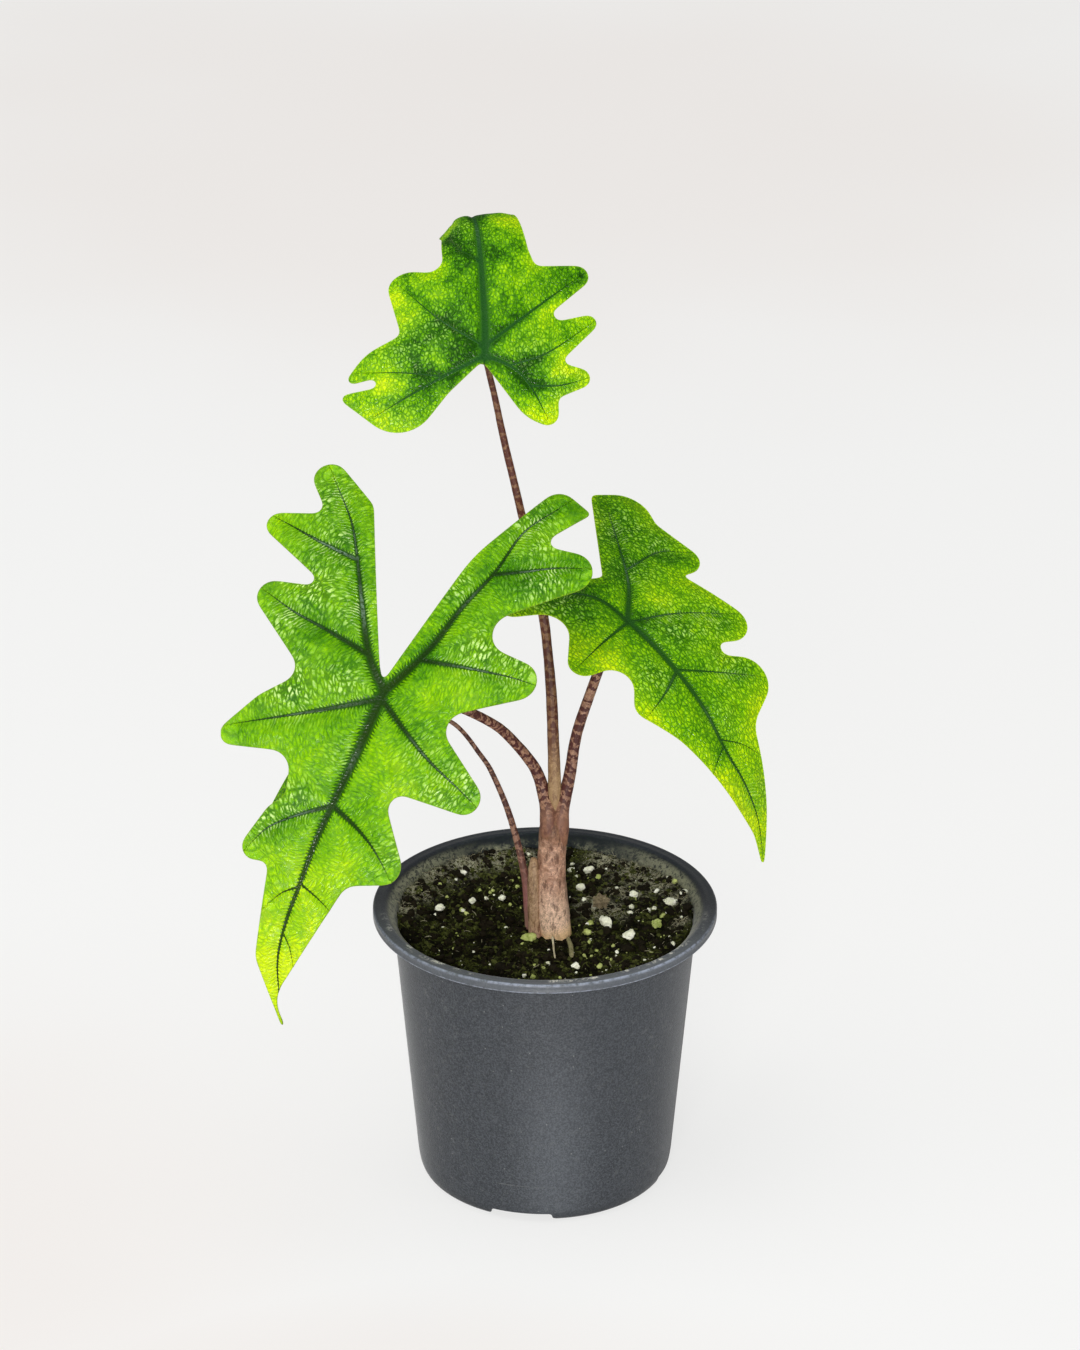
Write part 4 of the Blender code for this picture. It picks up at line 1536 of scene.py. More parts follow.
@dataclass(frozen=True)
class Stalk:
    """A round stalk, drawn out ring by ring along its middle line."""

    name: str
    solid: str
    skin: Finish
    slot: str
    sides: int
    step: float
    wrinkle: float  # how uneven the skin is
    points: tuple  # (x, y, z, radius) from the foot up
    seam: float = 0.0  # how far the edge of the wrapping sheath stands out
    end_share: float = 0.82  # how thick its last ring is, as a share

    def build(self) -> None:
        """Builds the stalk, with how far along and around it each point is, and hangs it in the frame."""
        line = smooth_route(self.points, self.step)
        bpy.ops.mesh.primitive_circle_add(vertices=self.sides, radius=MM, fill_type="NGON")
        made = bpy.context.object
        with edit_mode(made):
            for _ in line[1:]:
                extrude(0, 0, 1)
            face_out()
        x, y, z = points_of(made).T
        ring, turn = np.round(z).astype(int), np.arctan2(y, x)
        heading = unit(np.gradient(line[:, :3], axis=0))
        side = unit(np.cross(heading, (0.0, 1.0, 0.0)))
        other = np.cross(heading, side)
        along = run_lengths(line[:, :3])[ring]
        wave = np.array([skin_noise(*where) for where in zip(turn, along)])
        wrap = turn / math.tau + 0.35 + 0.12 * np.sin(along * 0.09)
        radius = line[ring, 3] + self.wrinkle * (wave - 0.6) - self.seam * (wrap % 1.0)
        ends = (ring == 0) | (ring == len(line) - 1)
        radius = np.where(ends, radius * self.end_share, radius)[:, None]
        spoke = np.cos(turn)[:, None] * side[ring] + np.sin(turn)[:, None] * other[ring]
        move_points(made, line[ring, :3] + radius * spoke)
        point_values(made, along=along, around=turn)
        with edit_mode(made):
            face_out()
        seat(made, self.name, self.slot, [self.skin], [self.solid], crease=60.0)


STALKS = (
    Stalk(
        "stem", "pseudostem", STEM_SKIN, "stem_skin", 40, 1.2, 0.16,
        (
            (3.4, -7, 76, 4.4), (3.4, -7, 83, 5.2), (2.4, -7, 89, 5.5), (1.8, -6.8, 98, 5.2),
            (2.2, -6.5, 110, 4.7), (2.6, -6.6, 118, 4.6), (2.8, -6, 122, 3.9), (2.8, -5.2, 126, 3),
            (2.8, -4.6, 129.5, 1.6),
        ),
        seam=0.55,
    ),
    Stalk(
        "front_stalk", "petiole_front", STALK_SKIN, "petiole_skin", 20, 1.5, 0.07,
        (
            (1.6, -6.6, 112, 2.6), (1.2, -8, 119, 2.8), (0.8, -7.2, 125.5, 2.45), (-0.4, -5.6, 130, 2.1),
            (-1.5, -5.5, 134.3, 1.9), (-3.6, -6.2, 139.5, 1.75), (-8.4, -8.5, 147.2, 1.6),
            (-14.9, -14, 156.5, 1.5), (-26.5, -25, 168, 1.4), (-37.5, -35, 175.9, 1.3),
            (-46.35, -42.6, 180.9, 1.2),
        ),
    ),
    Stalk(
        "tall_stalk", "petiole_top", TALL_STALK_SKIN, "petiole_skin", 20, 1.5, 0.07,
        (
            (2.9, -5.6, 114, 1.9), (3, -6, 119.5, 2), (2.9, -6.4, 125.6, 2.2), (2.8, -6.6, 137, 1.95),
            (2.4, -5.8, 149.3, 1.8), (1.9, -3.2, 161.3, 1.7), (0.9, -1.2, 173.5, 1.5),
            (-0.3, 0.8, 184.1, 1.5), (-3, 2.6, 198, 1.4), (-7.9, 4, 221.5, 1.2), (-12.1, 3.9, 240.7, 1.1),
            (-14.7, 3.2, 254.5, 1), (-17.4, 1.2, 267.5, 0.9),
        ),
    ),
    Stalk(
        "right_stalk", "petiole_right", STALK_SKIN, "petiole_skin", 20, 1.5, 0.07,
        (
            (3.9, -6.6, 112, 2.6), (4.6, -7.8, 119, 2.7), (5.1, -7, 125.5, 2.35), (7.4, -5.2, 135.5, 1.9),
            (9.4, -5, 148.9, 1.7), (13.3, -5, 162.1, 1.6), (16.6, -5.2, 172.1, 1.5), (20, -5.5, 180, 1.3),
            (23.7, -6.1, 186.2, 1.1),
        ),
    ),
    Stalk(
        "small_stalk", "petiole_small", SMALL_STALK_SKIN, "petiole_skin", 16, 1.5, 0.05,
        (
            (-4.6, -4.6, 79, 1.3), (-5.2, -4.5, 90, 1.3), (-6.4, -4.5, 103.2, 1.2), (-10.6, -4.5, 121.5, 1),
            (-15.6, -5, 135.5, 0.85), (-19.3, -5.8, 142.6, 0.75), (-26.9, -8, 153.8, 0.7),
            (-37.2, -10.5, 159.6, 0.7), (-46, -12.6, 160.4, 0.65), (-51.15, -13.9, 158.4, 0.6),
        ),
    ),
    Stalk(
        "old_sheath", "old_sheath_stub", SHEATH_SKIN, "stem_skin", 16, 1.2, 0.1,
        (
            (-3, -8.6, 80, 1.9), (-3.1, -8.6, 88, 2.1), (-3.3, -8.5, 98, 2.1), (-3.4, -8.3, 104.5, 1.8),
            (-3.4, -8, 108.5, 1.2), (-3.4, -7.9, 109.3, 0.5),
        ),
    ),
    Stalk(
        "dry_stick", "twig", DRY_STICK_SKIN, "bark", 12, 0.8, 0.12,
        ((8, -25.5, 85, 0.8), (7.8, -20, 85.1, 0.8), (7, -14.6, 85.2, 0.7)),
    ),
    Stalk(
        "pale_root", "aerial_root", PALE_ROOT_SKIN, "pale_root", 10, 0.8, 0.08,
        ((3, -26, 84.6, 0.3), (2.6, -20, 84.7, 0.35), (2.3, -13.6, 85.2, 0.4)),
    ),
)


# Leaves


@dataclass(frozen=True)
class Vein:
    """One vein on a leaf's plan, from its root outwards, with the ribs on its left and right."""

    route: tuple
    width: float  # half its width at its root
    end_width: float  # half its width at its end
    left_reach: float = 1.5  # how far the ribs reach on its left
    right_reach: float = 1.5  # and on its right


@dataclass(frozen=True)
class BladeForm:
    """One leaf blade: where it hangs, how it bends, its margin, its veins and its tone."""

    name: str
    solid: str
    junction: tuple  # where the midrib starts
    tip: tuple  # the way the midrib leaves it
    face: tuple  # the way its upper face looks there
    bend: tuple  # (v, turn in degrees) along the midrib
    fold: tuple  # (v, left lift, right lift in degrees)
    margin: tuple  # (u, v, radius) of the circles it runs round, radius below 0 for a bay
    veins: tuple
    ground_tone: float  # from deep green, below 0, to yellow
    patches: tuple  # (u, v, radius, how much yellower)
    shines: tuple  # (u, v, radius, strength) of the patches where highlights are painted and the net lines are drawn darker
    curl: tuple = (-0.003, -0.003)  # how fast the left and the right half curl down
    vein_shadow: float = 0.0  # how much darker it is beside its veins
    edge_tone: float = 0.1  # how much yellower it is along its margin
    relief: float = 1.0  # how strongly it is quilted
    skin: LeafSkin = FRONT_SKIN


FRONT_FORM = BladeForm(
    name="front_leaf",
    solid="blade_front",
    junction=(-47.1, -44, 182.1),
    tip=(-0.338, -0.597, -0.727),
    face=(-0.155, -0.727, 0.669),
    bend=((-90, 14), (-40, 6), (0, 0), (40, -10), (80, -22), (115, -30)),
    fold=((-80, 4, 4), (0, 10, 10), (60, 6, 6), (110, 12, 12)),
    margin=(
        (-1.5, -4.5, -1), (55.5, -29, 48), (29, -69, 5.5), (38, -70.5, 0.5), (33, -59, -2.5),
        (40, -50.5, 6.5), (31.5, -27, -6.5), (37.5, -13.5, 6), (28, 5, -5.5), (34.5, 23.5, 5),
        (17.5, 32, -4), (17.5, 49, 5.5), (13, 62.5, -6), (6.5, 94, -9.5), (0.5, 102.5, 0.5),
        (-5, 82.5, 7.5), (-18, 60.5, -2.5), (-21, 54.5, 4), (-20, 43, 1), (-19.2, 37.3, -2),
        (-24, 32.5, -6), (-38, 25.5, 3.5), (-28.5, 17, 7), (-31.5, 3, -5), (-40.5, -16.5, 5),
        (-33, -25, -2), (-47.5, -38.5, 4), (-40, -47.5, -2.5), (-39, -57.5, 5), (-26.5, -50.5, 4),
    ),
    veins=(
        Vein(
            (
                (0.2, -1), (-0.8, 17.5), (-2.6, 33.7), (-4.3, 47.3), (-5.2, 61.5), (-6.1, 73.5), (-5.6, 84),
                (-3, 93), (0, 101),
            ),
            1.85, 0.05, 5.5, 5,
        ),
        Vein(
            ((0.2, 0), (-7.7, -8.9), (-15.4, -23.4), (-21.6, -35.6), (-28, -46.6), (-38.5, -58.5)),
            1.5, 0.05, 4.5, 7.5,
        ),
        Vein(((-7.7, -8.9), (-23.2, -12.2), (-33.1, -14.1), (-43, -17.3)), 1.05, 0.05, 3, 7.5),
        Vein(((-21.6, -35.4), (-33.9, -37.2), (-44, -39.4), (-49.5, -40.5)), 0.85, 0.05, 3, 7),
        Vein(
            ((0.4, 0), (8.5, -15.5), (13.4, -30.9), (18.7, -44.2), (22, -58.7), (29, -69.5)),
            1.55, 0.1, 7, 4,
        ),
        Vein(((7.6, -12), (22.3, -13.3), (34.6, -14.1), (41, -14)), 0.9, 0.08, 5.5, 4),
        Vein(((18.4, -43.3), (26.1, -46.4), (35.3, -50.6), (43, -53)), 0.8, 0.05, 6.5, 4),
        Vein(((0, 2.6), (-13, 10), (-25.9, 16.7), (-38, 22.6)), 1.1, 0.05, 3, 8),
        Vein(((0.4, 2.6), (11.4, 10.3), (21, 16.3), (32, 21.5), (37, 24)), 1, 0.08, 4, 2.2),
        Vein(((-2.8, 36.6), (-11.8, 42.3), (-19, 48.2), (-22.5, 54)), 0.75, 0.05, 2.5, 6),
        Vein(((-3, 36.6), (5.8, 40.6), (12.6, 44.8), (19, 50.5)), 0.85, 0.06, 4, 2.5),
        Vein(((-5.2, 62), (-9.5, 65), (-12, 68.5)), 0.3, 0.04, 1.5, 2.5),
        Vein(((-5.2, 61), (1, 63.6), (6.5, 66.5)), 0.3, 0.04, 2.5),
        Vein(((-6.2, 76), (-3, 80), (-0.6, 85)), 0.15, 0.04),
    ),
    ground_tone=-0.13,
    patches=(
        (-4, 90, 20, 1.6), (-7, 62, 11, 0.6), (5, 52, 9, 0.6), (22, 29, 9, 0.4), (8, 18, 9, 0.55),
        (-14, 22, 7, 0.25), (-45, -40, 9, 0.35), (18, -5, 8, 0.35), (-26, 26, 6, 0.3), (24, -44, 8, -0.5),
        (-24, -37, 8, -0.35), (-26, -12, 8, -0.35), (38, -52, 7, -0.4), (12, 10, 5, -0.3),
        (-14, 46, 5, -0.3), (33, -70, 8, -0.2), (10, -12, 6, -0.4),
    ),
    shines=(
        (-36, -52, 7, 0.7), (-30, -36, 8, 0.8), (-30, -23, 8, 1), (-17, -21, 6, 0.8), (-34, -11, 6, 0.8),
        (-26, 8, 8, 1), (-12, 2, 6, 0.8), (10, -36, 5, 0.7), (22, -62, 7, 0.8), (34, -45, 7, 0.9),
        (28, -56, 6, 0.6), (24, -18, 7, 1), (35, -17, 6, 0.9), (28, 23, 7, 0.8), (34, 19, 5, 0.8),
        (17, 15, 5, 0.5), (-14, 39, 6, 0.8), (-21, 46, 6, 0.9), (19, 45, 5, 0.6), (-5, 22, 4, 0.5),
    ),
    relief=1.35,
)

RIGHT_FORM = BladeForm(
    name="right_leaf",
    solid="blade_right",
    junction=(24.5, -6, 187.8),
    tip=(0.646, -0.646, -0.407),
    face=(0.288, -0.288, 0.914),
    bend=((-50, -6), (-20, 0), (0, 0), (20, -8), (45, -30), (70, -52), (100, -66)),
    fold=((-50, -4, 2), (0, -6, 6), (50, -4, 6), (90, 4, 4)),
    curl=(-0.006, -0.002),
    margin=(
        (5, -17.5, -0.5), (26.5, -43.5, 1.5), (30, -34, 9), (39.5, -26.5, -2.5), (32.5, -11.5, 6.5),
        (29.5, -4.5, -1), (27.5, 15, 7), (21.5, 23, -2.5), (20, 34, 8), (23.5, 52, -9), (-7, 68.5, 18.5),
        (7.5, 87.5, 0.5), (-3, 80.5, -8.5), (-36, 56, -28), (-14.5, 28.5, 5), (-21, 18, -6.5),
        (-22.5, 6, 5), (-25.5, -9, -7.5), (-26.5, -22.5, 4),
    ),
    veins=(
        Vein(
            ((0, -0.8), (0.8, 12), (1.1, 22.9), (1.8, 37.2), (2.2, 50), (5.2, 62), (7.4, 74), (7.6, 86)),
            1.35, 0.02, 4, 4.5,
        ),
        Vein(((0.3, 0), (10.8, -11.2), (19.6, -25.4), (27.5, -39.5)), 1.05, 0.03, 5, 3),
        Vein(((14.4, -16), (29, -17), (37.5, -12.5)), 0.5, 0.04, 2.5, 2),
        Vein(((0, 0), (-2.4, -11), (-11.7, -18.7), (-26, -23.5)), 0.95, 0.03, 3, 4),
        Vein(((0.4, 1), (15.6, 5.4), (32, 13.5)), 0.45, 0.05, 6, 2),
        Vein(((1.2, 21.9), (12.1, 27.6), (25.5, 34.5)), 0.4, 0.04, 4, 2),
        Vein(((-0.2, 1), (-13.3, 3.4), (-24.5, 6)), 0.6, 0.04, 1.5, 4),
        Vein(((1, 22.4), (-8.4, 27.6), (-16.5, 31)), 0.6, 0.04, 1.5, 3.5),
        Vein(((2.2, 49), (-3, 53), (-8, 58)), 0.2, 0.03, 1.5, 2),
        Vein(((2.2, 47), (8.5, 50.5), (13.5, 55.5)), 0.2, 0.03, 2),
    ),
    ground_tone=-0.04,
    patches=(
        (-17, 12, 7, 0.75), (-18, 1, 7, 0.5), (-17, 32, 7, 0.9), (-4, 62, 11, 1), (5, 79, 10, 0.9),
        (14, 50, 9, 0.7), (22, 40, 8, 0.5), (14, -2, 8, 0.5), (24, 6, 8, 0.3), (14, -22, 12, -0.5),
        (28, -36, 9, -0.2), (-8, -14, 9, -0.5), (3, 4, 6, -0.5), (-13, 29, 6, -0.3), (30, -12, 6, -0.3),
    ),
    shines=(
        (24, -30, 8, 0.6), (15, -14, 6, 0.5), (12, 9, 7, 0.7), (22, 12, 6, 0.6), (-8, 22, 5, 0.6),
        (-15, -15, 8, 0.7), (18, 28, 6, 0.5), (30, -18, 5, 0.5), (4, 40, 5, 0.3), (8, 66, 5, 0.3),
    ),
    vein_shadow=0.3,
    edge_tone=0.35,
    skin=RIGHT_SKIN,
)

TOP_FORM = BladeForm(
    name="top_leaf",
    solid="blade_top",
    junction=(-17.5, 0, 269.1),
    tip=(-0.058, 0.667, 0.743),
    face=(0.065, -0.74, 0.669),
    bend=((-60, 24), (-20, 8), (0, 0), (32, -6), (44, -34), (58, -78), (82, -112)),
    fold=((-50, -6, -6), (0, -4, -4), (30, -4, -12), (48, 4, -44), (80, -10, -30)),
    margin=(
        (1, -2.5, -0.5), (3, -19, -11.5), (26, -10.5, 11.5), (41, -10.5, 1.5), (33.5, -6.5, -1.5),
        (39, -4.5, 1.5), (24.5, -9.5, 16), (26.5, 9.5, -2), (21.5, 24, 6), (15, 32.5, -4), (12, 55.5, 1),
        (12, 64, -6), (3, 86, 0.5), (-12, 66, -7), (-10.5, 58, 1), (-13.5, 52, -1.5), (-6, 32, 9),
        (-18, 30.5, -2), (-29, 25.5, 3.5), (-23, 13, -2), (-31.5, 10.5, 2.5), (-25, -1.5, -1.5),
        (-28, -7, 3), (-23, -14.5, -2), (-17.5, -18, 3.5), (-19.5, -8.5, 13),
    ),
    veins=(
        Vein(
            ((0, -0.6), (-0.6, 10.9), (-0.6, 21), (-0.5, 34), (0, 50), (1.4, 66), (3, 84)),
            1.65, 0.3, 2, 2,
        ),
        Vein(((0, 2.8), (12.8, 12.5), (24, 25)), 0.5, 0.03),
        Vein(((0, 0), (9.8, -4.4), (19.1, -9), (32, -16)), 1, 0.05),
        Vein(((12.4, -5.7), (25, -3.6), (38, -2.6)), 0.3, 0.03),
        Vein(((-0.4, 3.2), (-14.1, 13.6), (-31, 26.5)), 0.8, 0.03),
        Vein(((-0.2, 0), (-7.7, -3.5), (-12.7, -9), (-17.5, -19)), 0.9, 0.05),
        Vein(((-7.2, -3.2), (-18.9, 1), (-32.5, 10.5)), 0.4, 0.03),
        Vein(((-12.9, -9.4), (-21.7, -9.3), (-29.5, -7.2)), 0.45, 0.03),
        Vein(((-0.5, 30), (7, 37), (12.5, 53)), 0.2, 0.03),
    ),
    ground_tone=-0.3,
    patches=(
        (-17, -19, 6, 1.4), (-26, -5, 8, 1.1), (-28, 9, 5, 0.5), (-18, 15, 6, 0.6), (-10, 44, 6, 1.1),
        (26, 18, 7, 1.1), (31, -7, 6, 1.2), (30, -19, 6, 0.9), (10, 50, 5, 0.8), (-10, 24, 8, 0.3),
        (12, 22, 6, 0.25), (5, 0, 9, -0.5), (-6, 34, 6, -0.6), (17, -8, 7, -0.4), (-28, 26, 6, -0.4),
        (6, 30, 6, -0.3), (-10, -8, 6, -0.3), (9, 41, 4, -0.8), (3, 62, 8, -0.5),
    ),
    shines=(
        (-24, -10, 6, 0.5), (14, 8, 7, 0.6), (22, 2, 7, 0.6), (-14, 0, 6, 0.4), (4, 42, 6, 0.5),
        (26, -14, 5, 0.4),
    ),
    vein_shadow=0.8,
    edge_tone=0.35,
    skin=TOP_SKIN,
)

SMALL_FORM = BladeForm(
    name="small_leaf",
    solid="blade_small",
    junction=(-52.2, -14, 159.8),
    tip=(-0.764, -0.196, -0.614),
    face=(-0.606, -0.105, 0.788),
    bend=((-30, 4), (0, 0), (30, -10), (60, -20)),
    fold=((-20, 4, 4), (20, 6, 6), (50, 8, 8)),
    margin=(
        (0, -3.5, -1), (9.5, -15, 4.5), (18, -4.5, -6), (14, 7, 4.5), (17.5, 19.5, -8), (7.5, 28, 4),
        (0, 55.5, 0.5), (-7.5, 28, 4), (-17.5, 19.5, -8), (-14, 7, 4.5), (-18, -4.5, -6), (-9.5, -15, 4.5),
    ),
    veins=(
        Vein(((0, -0.6), (0, 14), (0.3, 30), (0, 54)), 0.7, 0.2, 3, 3),
        Vein(((0, 0), (5.5, -7.5), (10.5, -17)), 0.45, 0.2, 3),
        Vein(((0, 0), (-5.5, -7.5), (-10.5, -17)), 0.45, 0.2, 1.5, 3),
        Vein(((0, 1), (8, 4.6), (16.5, 8.6)), 0.35, 0.15, 3),
        Vein(((0, 1), (-8, 4.6), (-16.5, 8.6)), 0.35, 0.15, 1.5, 3),
        Vein(((0.2, 17), (4.8, 22), (9.6, 29.5)), 0.3, 0.15, 2.5),
        Vein(((0.2, 17), (-4.8, 22), (-9.6, 29.5)), 0.3, 0.15, 1.5, 2.5),
    ),
    ground_tone=-0.5,
    patches=((0, 50, 12, 0.5), (14, 8, 5, 0.4), (-14, 8, 5, 0.4)),
    shines=((6, 4, 8, 0.4), (-8, 16, 8, 0.4)),
    skin=RIGHT_SKIN,
)


def smooth(share: np.ndarray) -> np.ndarray:
    """A smooth step from 0 to 1, for shares outside that range too."""
    share = np.clip(share, 0, 1)
    return share * share * (3 - 2 * share)


def bell(distance: np.ndarray, width: float | np.ndarray) -> np.ndarray:
    """A soft peak of 1 where the distance is 0, that falls off over this width."""
    return np.exp(-((distance / width) ** 2))


def over_bend(v: np.ndarray, stations: tuple, column: int) -> np.ndarray:
    """A column of the stations read along the midrib, straight between them with softened corners.

    Args:
        v: where to read it.
        stations: rows that start with their place along the midrib.
        column: which column to read.

    Returns:
        One number for each v.
    """
    table = np.array(stations, float)
    offsets = ((-8.0, 0.1), (-4.0, 0.2), (0.0, 0.4), (4.0, 0.2), (8.0, 0.1))
    return sum(weight * np.interp(v + offset, table[:, 0], table[:, column]) for offset, weight in offsets)


@dataclass(frozen=True)
class VeinFit:
    """How every point of a leaf's plan lies to the leaf's veins, one row for each vein."""

    along: np.ndarray  # how far along the vein
    away: np.ndarray  # how far from it, below 0 on its left
    share: np.ndarray  # the share of its length
    width: np.ndarray  # half its width there
    reach: np.ndarray  # how far its ribs reach there


@dataclass
class LeafBlade:
    """One leaf blade, cut from a flat sheet, veined and quilted, and bent onto its solid's surface."""

    form: BladeForm
    room: tuple
    thickness: float = 1.25
    lamina: float = 0.46
    groove: float = 0.62
    quilt: float = 0.85  # how far it swells between its veins
    swell_width: float = 4.2  # how far from a vein it has swollen
    ripple: float = 0.6
    merge_width: float = 2.5  # how much farther the next vein is where ribs are whole
    rim_width: float = 5.0  # how far in its quilting is whole
    bright_width: float = 3.5  # how wide the yellower margin is
    shadow_width: float = 1.9  # how wide the darker band beside a vein is
    sunk: float = 0.35
    crease_width: float = 6.0
    cell: float = 0.6
    margin_step: float = 0.55
    samples: int = 16

    def surface(self, u: np.ndarray, v: np.ndarray) -> np.ndarray:
        """The places of these plan points on the bent blade's upper face.

        Args:
            u: how far across the midrib.
            v: how far along it.

        Returns:
            One (x, y, z) row for each point.
        """
        form = self.form
        tip = unit(np.array(form.tip))
        face = unit(np.array(form.face) - np.dot(form.face, tip) * tip)
        across = np.cross(face, tip)
        steps = np.arange(-150.0, 201.0)
        turns = np.radians(over_bend(steps, form.bend, 1))
        start = int(np.argmin(abs(steps)))
        offsets = []
        for part in (np.cos(turns), np.sin(turns)):
            run = np.concatenate([[0.0], np.cumsum((part[1:] + part[:-1]) / 2)])
            offsets.append(np.interp(v, steps, run - run[start])[:, None])
        turn = np.interp(v, steps, turns)[:, None]
        left, right = (np.radians(over_bend(v, form.fold, column)) for column in (1, 2))
        lift, curl = np.where(u > 0, right, left), np.where(u > 0, form.curl[1], form.curl[0])
        level, height = 0.0, 0.0
        for sample in (np.arange(self.samples) + 0.5) / self.samples:
            distance = abs(u) * sample
            slope = lift * smooth(distance / self.crease_width) + curl * distance
            level, height = level + np.cos(slope) / self.samples, height + np.sin(slope) / self.samples
        midrib = np.array(form.junction) + offsets[0] * tip + offsets[1] * face
        normal = -np.sin(turn) * tip + np.cos(turn) * face
        return midrib + (level * u)[:, None] * across + (height * abs(u))[:, None] * normal

    def outline(self) -> np.ndarray:
        """The margin: a belt round its circles, with lobes inside it and bays outside.

        Returns:
            The points of the closed line.
        """
        circles = [Vector(circle) for circle in self.form.margin]
        headings = []
        for here, after in zip(circles, circles[1:] + circles[:1]):
            step = (after - here).to_2d()
            headings.append(math.atan2(step.y, step.x) + math.asin((here.z - after.z) / step.length))
        points = []
        for index, (x, y, radius) in enumerate(circles):
            start, end, side = headings[index - 1], headings[index], math.copysign(1.0, radius)
            turn = side * ((side * (end - start) + 0.8) % math.tau - 0.8)
            for heading in np.linspace(start, start + turn, max(2, int(abs(turn * radius) / 0.3) + 2)):
                points.append((x + radius * math.sin(heading), y - radius * math.cos(heading)))
        closed = np.array([*points, points[0]])
        along = run_lengths(closed)
        marks = np.arange(round(along[-1] / self.margin_step)) * self.margin_step
        line = np.column_stack([np.interp(marks, along, column) for column in closed.T])
        for _ in range(6):
            line = (np.roll(line, 1, 0) + 2 * line + np.roll(line, -1, 0)) / 4
        return line

    def flat_sheet(self, line: np.ndarray) -> bpy.types.Object:
        """A fine flat grid cut to the margin.

        Args:
            line: the margin's points.

        Returns:
            The sheet.
        """
        low, high = line.min(0) - 1.5, line.max(0) + 1.5
        count = [int(math.ceil(span / self.cell)) for span in high - low]
        bpy.ops.mesh.primitive_grid_add(x_subdivisions=count[0], y_subdivisions=count[1], size=1.0)
        sheet = bpy.context.object
        sheet.scale = (*((high - low) * MM), 1.0)
        sheet.location = (*((low + high) / 2 * MM), 0.0)
        apply_place(sheet)
        bpy.ops.mesh.primitive_circle_add(vertices=len(line), radius=MM, fill_type="NGON")
        cutter = bpy.context.object
        move_points(cutter, np.column_stack([line, np.full(len(line), -5.0)]))
        with edit_mode(cutter):
            extrude(0, 0, 10)
            face_out()
        combine(sheet, cutter, "INTERSECT")
        return sheet

    def fit_vein(self, plan: np.ndarray, vein: Vein) -> tuple[np.ndarray, ...]:
        """How every plan point lies to one vein.

        Args:
            plan: the points.
            vein: the vein.

        Returns:
            One row for each field of VeinFit, in its order.
        """
        route = smooth_route([(u, v, 0.0) for u, v in vein.route], 2.0)[:, :2]
        legs = np.diff(route, axis=0)
        lengths = np.linalg.norm(legs, axis=1)
        starts = run_lengths(route)
        offset = plan[:, None, :] - route[None, :-1, :]
        t = np.clip((offset * legs).sum(2) / lengths**2, 0, 1)
        distance = np.linalg.norm(offset - t[:, :, None] * legs, axis=2)
        best, rows = distance.argmin(1), np.arange(len(plan))
        turn = legs[best, 0] * offset[rows, best, 1] - legs[best, 1] * offset[rows, best, 0]
        along = starts[best] + t[rows, best] * lengths[best]
        away = distance[rows, best] * np.where(turn > 0, -1.0, 1.0)
        share = along / starts[-1]
        width = vein.end_width + (vein.width - vein.end_width) * (1 - share) ** 1.3
        side = np.where(away < 0, vein.left_reach, vein.right_reach)
        return along, away, share, width, side * np.clip((1.04 - share) * 4, 0, 1)

    def write_plans(self, sheet: bpy.types.Object, plan: np.ndarray, fit: VeinFit) -> None:
        """Writes the plan and, face by face, the place along and away from the face's own vein.

        Args:
            sheet: the flat sheet.
            plan: its points.
            fit: how they lie to the veins.
        """
        mesh = sheet.data
        corners = np.empty(len(mesh.loops), np.int32)
        mesh.loops.foreach_get("vertex_index", corners)
        totals = np.empty(len(mesh.polygons), np.int32)
        mesh.polygons.foreach_get("loop_total", totals)
        starts = np.concatenate([[0], np.cumsum(totals)[:-1]])
        summed = np.add.reduceat(abs(fit.away)[:, corners], starts, axis=1) / totals
        owner = np.repeat(summed.argmin(0), totals)
        ribs = np.column_stack([fit.along[owner, corners], fit.away[owner, corners]])
        for name, values in (("leaf_plan", plan[corners]), ("rib_plan", ribs)):
            layer = mesh.uv_layers.get(name) or mesh.uv_layers.new(name=name)
            layer.uv.foreach_set("vector", values.astype(np.float32).ravel())

    def relief(self, plan: np.ndarray, away: np.ndarray, width: np.ndarray, merge: np.ndarray) -> np.ndarray:
        """How far each point stands out of the bent surface: quilted between its veins, sunk along them.

        Args:
            plan: the points of the plan.
            away: how far each is from its vein.
            width: half that vein's width.
            merge: 0 where two veins meet, 1 away from there.

        Returns:
            The quilting and the depth of the grooves, as two rows.
        """
        swell = 1 - bell(away, self.swell_width)
        ripple = sum(
            amount * np.array([noise.noise(Vector((u / size, v / size, level))) for u, v in plan])
            for size, level, amount in ((9.0, 3.0, 0.9), (3.4, 8.0, 0.35))
        )
        swollen = self.quilt * swell * (0.45 + 0.55 * merge)
        quilting = self.form.relief * (swollen + self.ripple * ripple * swell)
        sink = bell(away, width * 0.9 + 0.35) * np.clip(0.3 + width * 0.8, 0, 1.2)
        return np.array([quilting, self.groove * sink])

    def spread(self, plan: np.ndarray, spots: tuple) -> np.ndarray:
        """The strength of each soft round spot at every point, one row for each spot."""
        return np.array([
            amount * bell(np.hypot(*(plan - (u, v)).T), radius) for u, v, radius, amount in spots
        ])

    def normals(self, plan: np.ndarray, step: float = 0.2) -> np.ndarray:
        """Which way the bent surface faces at every point of the plan."""
        du, dv = (
            self.surface(*(plan + way).T) - self.surface(*(plan - way).T) for way in np.eye(2) * step
        )
        return unit(np.cross(dv, du))

